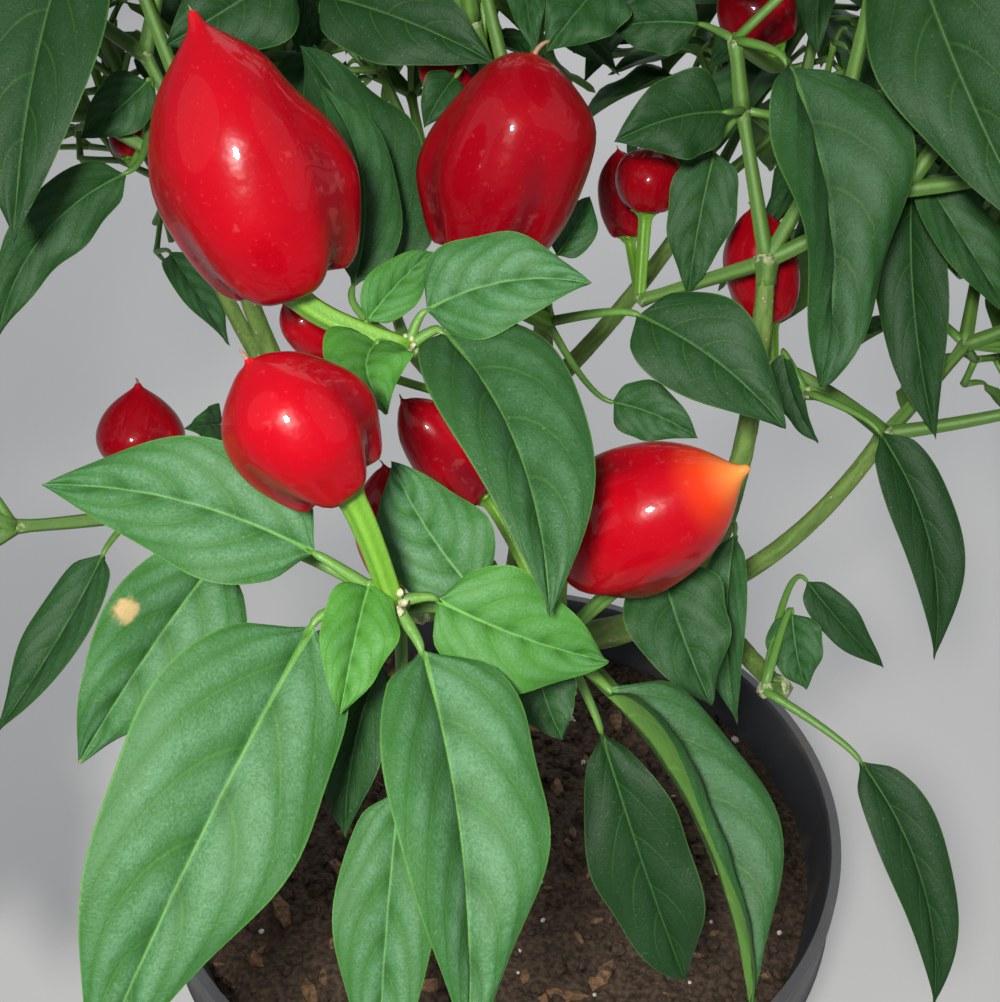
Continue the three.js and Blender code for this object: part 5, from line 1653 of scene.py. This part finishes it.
def mix_height(x, y):
    """Height of the mix above a place, in millimetres."""
    level = math.hypot(x, y)
    lumps = noise.fractal(Vector((x / 11, y / 11, 2.7)), 1.0, 2.1, 4) * 1.5
    fine = noise.noise(Vector((x / 2.6, y / 2.6, 8.1))) * 0.55
    mound = 1.6 * math.exp(-((level / 26) ** 2)) - 1.2 * max(0, level - 70) / 16
    return SOIL_TOP + lumps + fine + mound - 0.6


def mix_piece():
    top = [(MIX_RADIUS * i / MIX_RINGS, SOIL_TOP) for i in range(MIX_RINGS + 1)]
    side = (WALL_TOP - WALL + 1 - MIX_GAP, pot_step)
    foot = (FOOT_RADIUS - WALL - MIX_GAP, FLOOR + MIX_GAP)
    bm = spun([*top, side, foot, (0, FLOOR + MIX_GAP)], MIX_STEPS, POT_WELD)
    for vertex in bm.verts:
        level = math.hypot(vertex.co.x, vertex.co.y)
        if vertex.co.z > SOIL_TOP - 1 and level < MIX_RADIUS - 0.5:
            vertex.co.z = mix_height(vertex.co.x, vertex.co.y)
        elif vertex.co.z > SOIL_TOP - 1:
            vertex.co.z = SOIL_TOP - MIX_EDGE
    return turned_form(bm, "potting_mix", mix_dark, 80)


potting_mix = mix_piece()
belong(potting_mix, "soil", "soil")
print("The mix has", faces_of([potting_mix]), "faces")

# %% Loose bits on the mix
BIT = bmesh.new()
bmesh.ops.create_icosphere(BIT, subdivisions=1, radius=1)
BIT_CORNERS = np.array([vertex.co for vertex in BIT.verts])
BIT_FACES = np.array([[vertex.index for vertex in face.verts] for face in BIT.faces])
BIT.free()


def bits(name, finish, count, seed, smallest, largest, shape):
    """Many copies of one small lump, each with its own size, turn and dents, laid on the mix."""
    rng = np.random.default_rng(seed)
    places, faces = [], []
    for _ in range(count):
        level, angle = MIX_RADIUS * 0.97 * math.sqrt(rng.random()), rng.random() * 2 * math.pi
        x, y = level * math.cos(angle), level * math.sin(angle)
        if level < TRUNK_FLARE + 2:
            continue
        size = smallest + (largest - smallest) * rng.random() ** 2.2
        dents = 1 + 0.35 * (rng.random((len(BIT_CORNERS), 1)) - 0.5)
        lump = BIT_CORNERS * dents * np.array(shape) * size
        tilt, spin = (rng.random() - 0.5) * 0.9, rng.random() * 6.3
        cos, sin = math.cos(spin), math.sin(spin)
        rise, drop = math.cos(tilt), math.sin(tilt)
        turn = [[cos, -sin * rise, sin * drop], [sin, cos * rise, -cos * drop], [0, drop, rise]]
        height = mix_height(x, y) + size * shape[2] * 0.35
        places.append(lump @ np.array(turn).T + np.array([x, y, height]))
        faces.append(BIT_FACES + len(BIT_CORNERS) * (len(places) - 1))
    mesh = bpy.data.meshes.new(name)
    mesh.from_pydata((np.vstack(places) * MM).tolist(), [], np.vstack(faces).tolist())
    mesh.polygons.foreach_set("use_smooth", np.zeros(len(mesh.polygons), bool))
    return show(name, mesh, finish)


loose = [
    bits("mix_crumbs", mix_dark, 1700, 11, 0.5, 2.6, (1, 0.9, 0.75)),
    bits("mix_bark_bits", mix_bark, 170, 12, 1.0, 3.4, (1.7, 0.75, 0.4)),
    bits("mix_pale_grains", mix_pale, 90, 13, 0.5, 1.5, (1, 0.95, 0.85)),
]
for piece in loose:
    belong(piece, "soil")
print("The loose bits have", faces_of(loose), "faces")

# %% [markdown]
# ## Floor and light
# The plant stands on a plain pale floor. It was seen by a light close to the eye, which gives each pepper
# one small bright glint and lets the light fall off into the crown, so the main lamp hangs just over the
# eye. Large soft lamps and a pale sky fill the rest, so the sides and the back can be seen too.

# %% The floor
FLOOR_SIZE = 2.0


def floor_finish():
    f = Finish("pale_floor", {"Roughness": 0.7, "Specular IOR Level": 0.3})
    skin = f.blend(colour(0.60, 0.59, 0.57), colour(0.66, 0.65, 0.63), f.grain(3, 2))
    return f.paint({"Base Color": skin})


floor_bm = bmesh.new()
bmesh.ops.create_grid(floor_bm, x_segments=1, y_segments=1, size=FLOOR_SIZE)
floor_mesh = bpy.data.meshes.new("floor")
floor_bm.to_mesh(floor_mesh)
floor_bm.free()
floor = show("floor", floor_mesh, floor_finish())
floor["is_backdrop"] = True
print("The floor is", 2 * FLOOR_SIZE, "metres wide")

# %% The lamps
LAMP_AIM = Vector((0, 0, 0.27))


def lamp(name, place, size, power, tone=(1, 1, 1)):
    light = bpy.data.lights.new(name, "AREA")
    light.shape, light.size, light.energy, light.color = "DISK", size, power, tone
    holder = bpy.data.objects.new(name, light)
    holder.location = place
    holder.rotation_euler = (LAMP_AIM - Vector(place)).to_track_quat("-Z", "Y").to_euler()
    scene.collection.objects.link(holder)


lamp("near_eye", (-0.03, -0.30, 0.47), 0.035, 1.75, (1, 0.99, 0.96))
lamp("left_soft", (-1.1, -0.6, 1.2), 1.7, 5)
lamp("right_soft", (1.2, -0.2, 1.0), 1.7, 4)
lamp("back_soft", (0.2, 1.3, 1.1), 1.7, 10)
sky = bpy.data.worlds.new("sky")
sky.use_nodes = True
sky_light = sky.node_tree.nodes["Background"].inputs
sky_light["Color"].default_value = colour(0.82, 0.88, 1.0)
sky_light["Strength"].default_value = 0.28
scene.world = sky
scene.view_settings.view_transform = "Standard"

# %% [markdown]
# ## Close the work
# The dressed plant is measured as the solids were, and both boxes are printed before the
# end. The dressed plant has to stay the size that the solids give.

# %% Sizes and the end
low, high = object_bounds()
print("The dressed plant measures", [round(b - a, 3) for a, b in zip(low, high)], "metres")
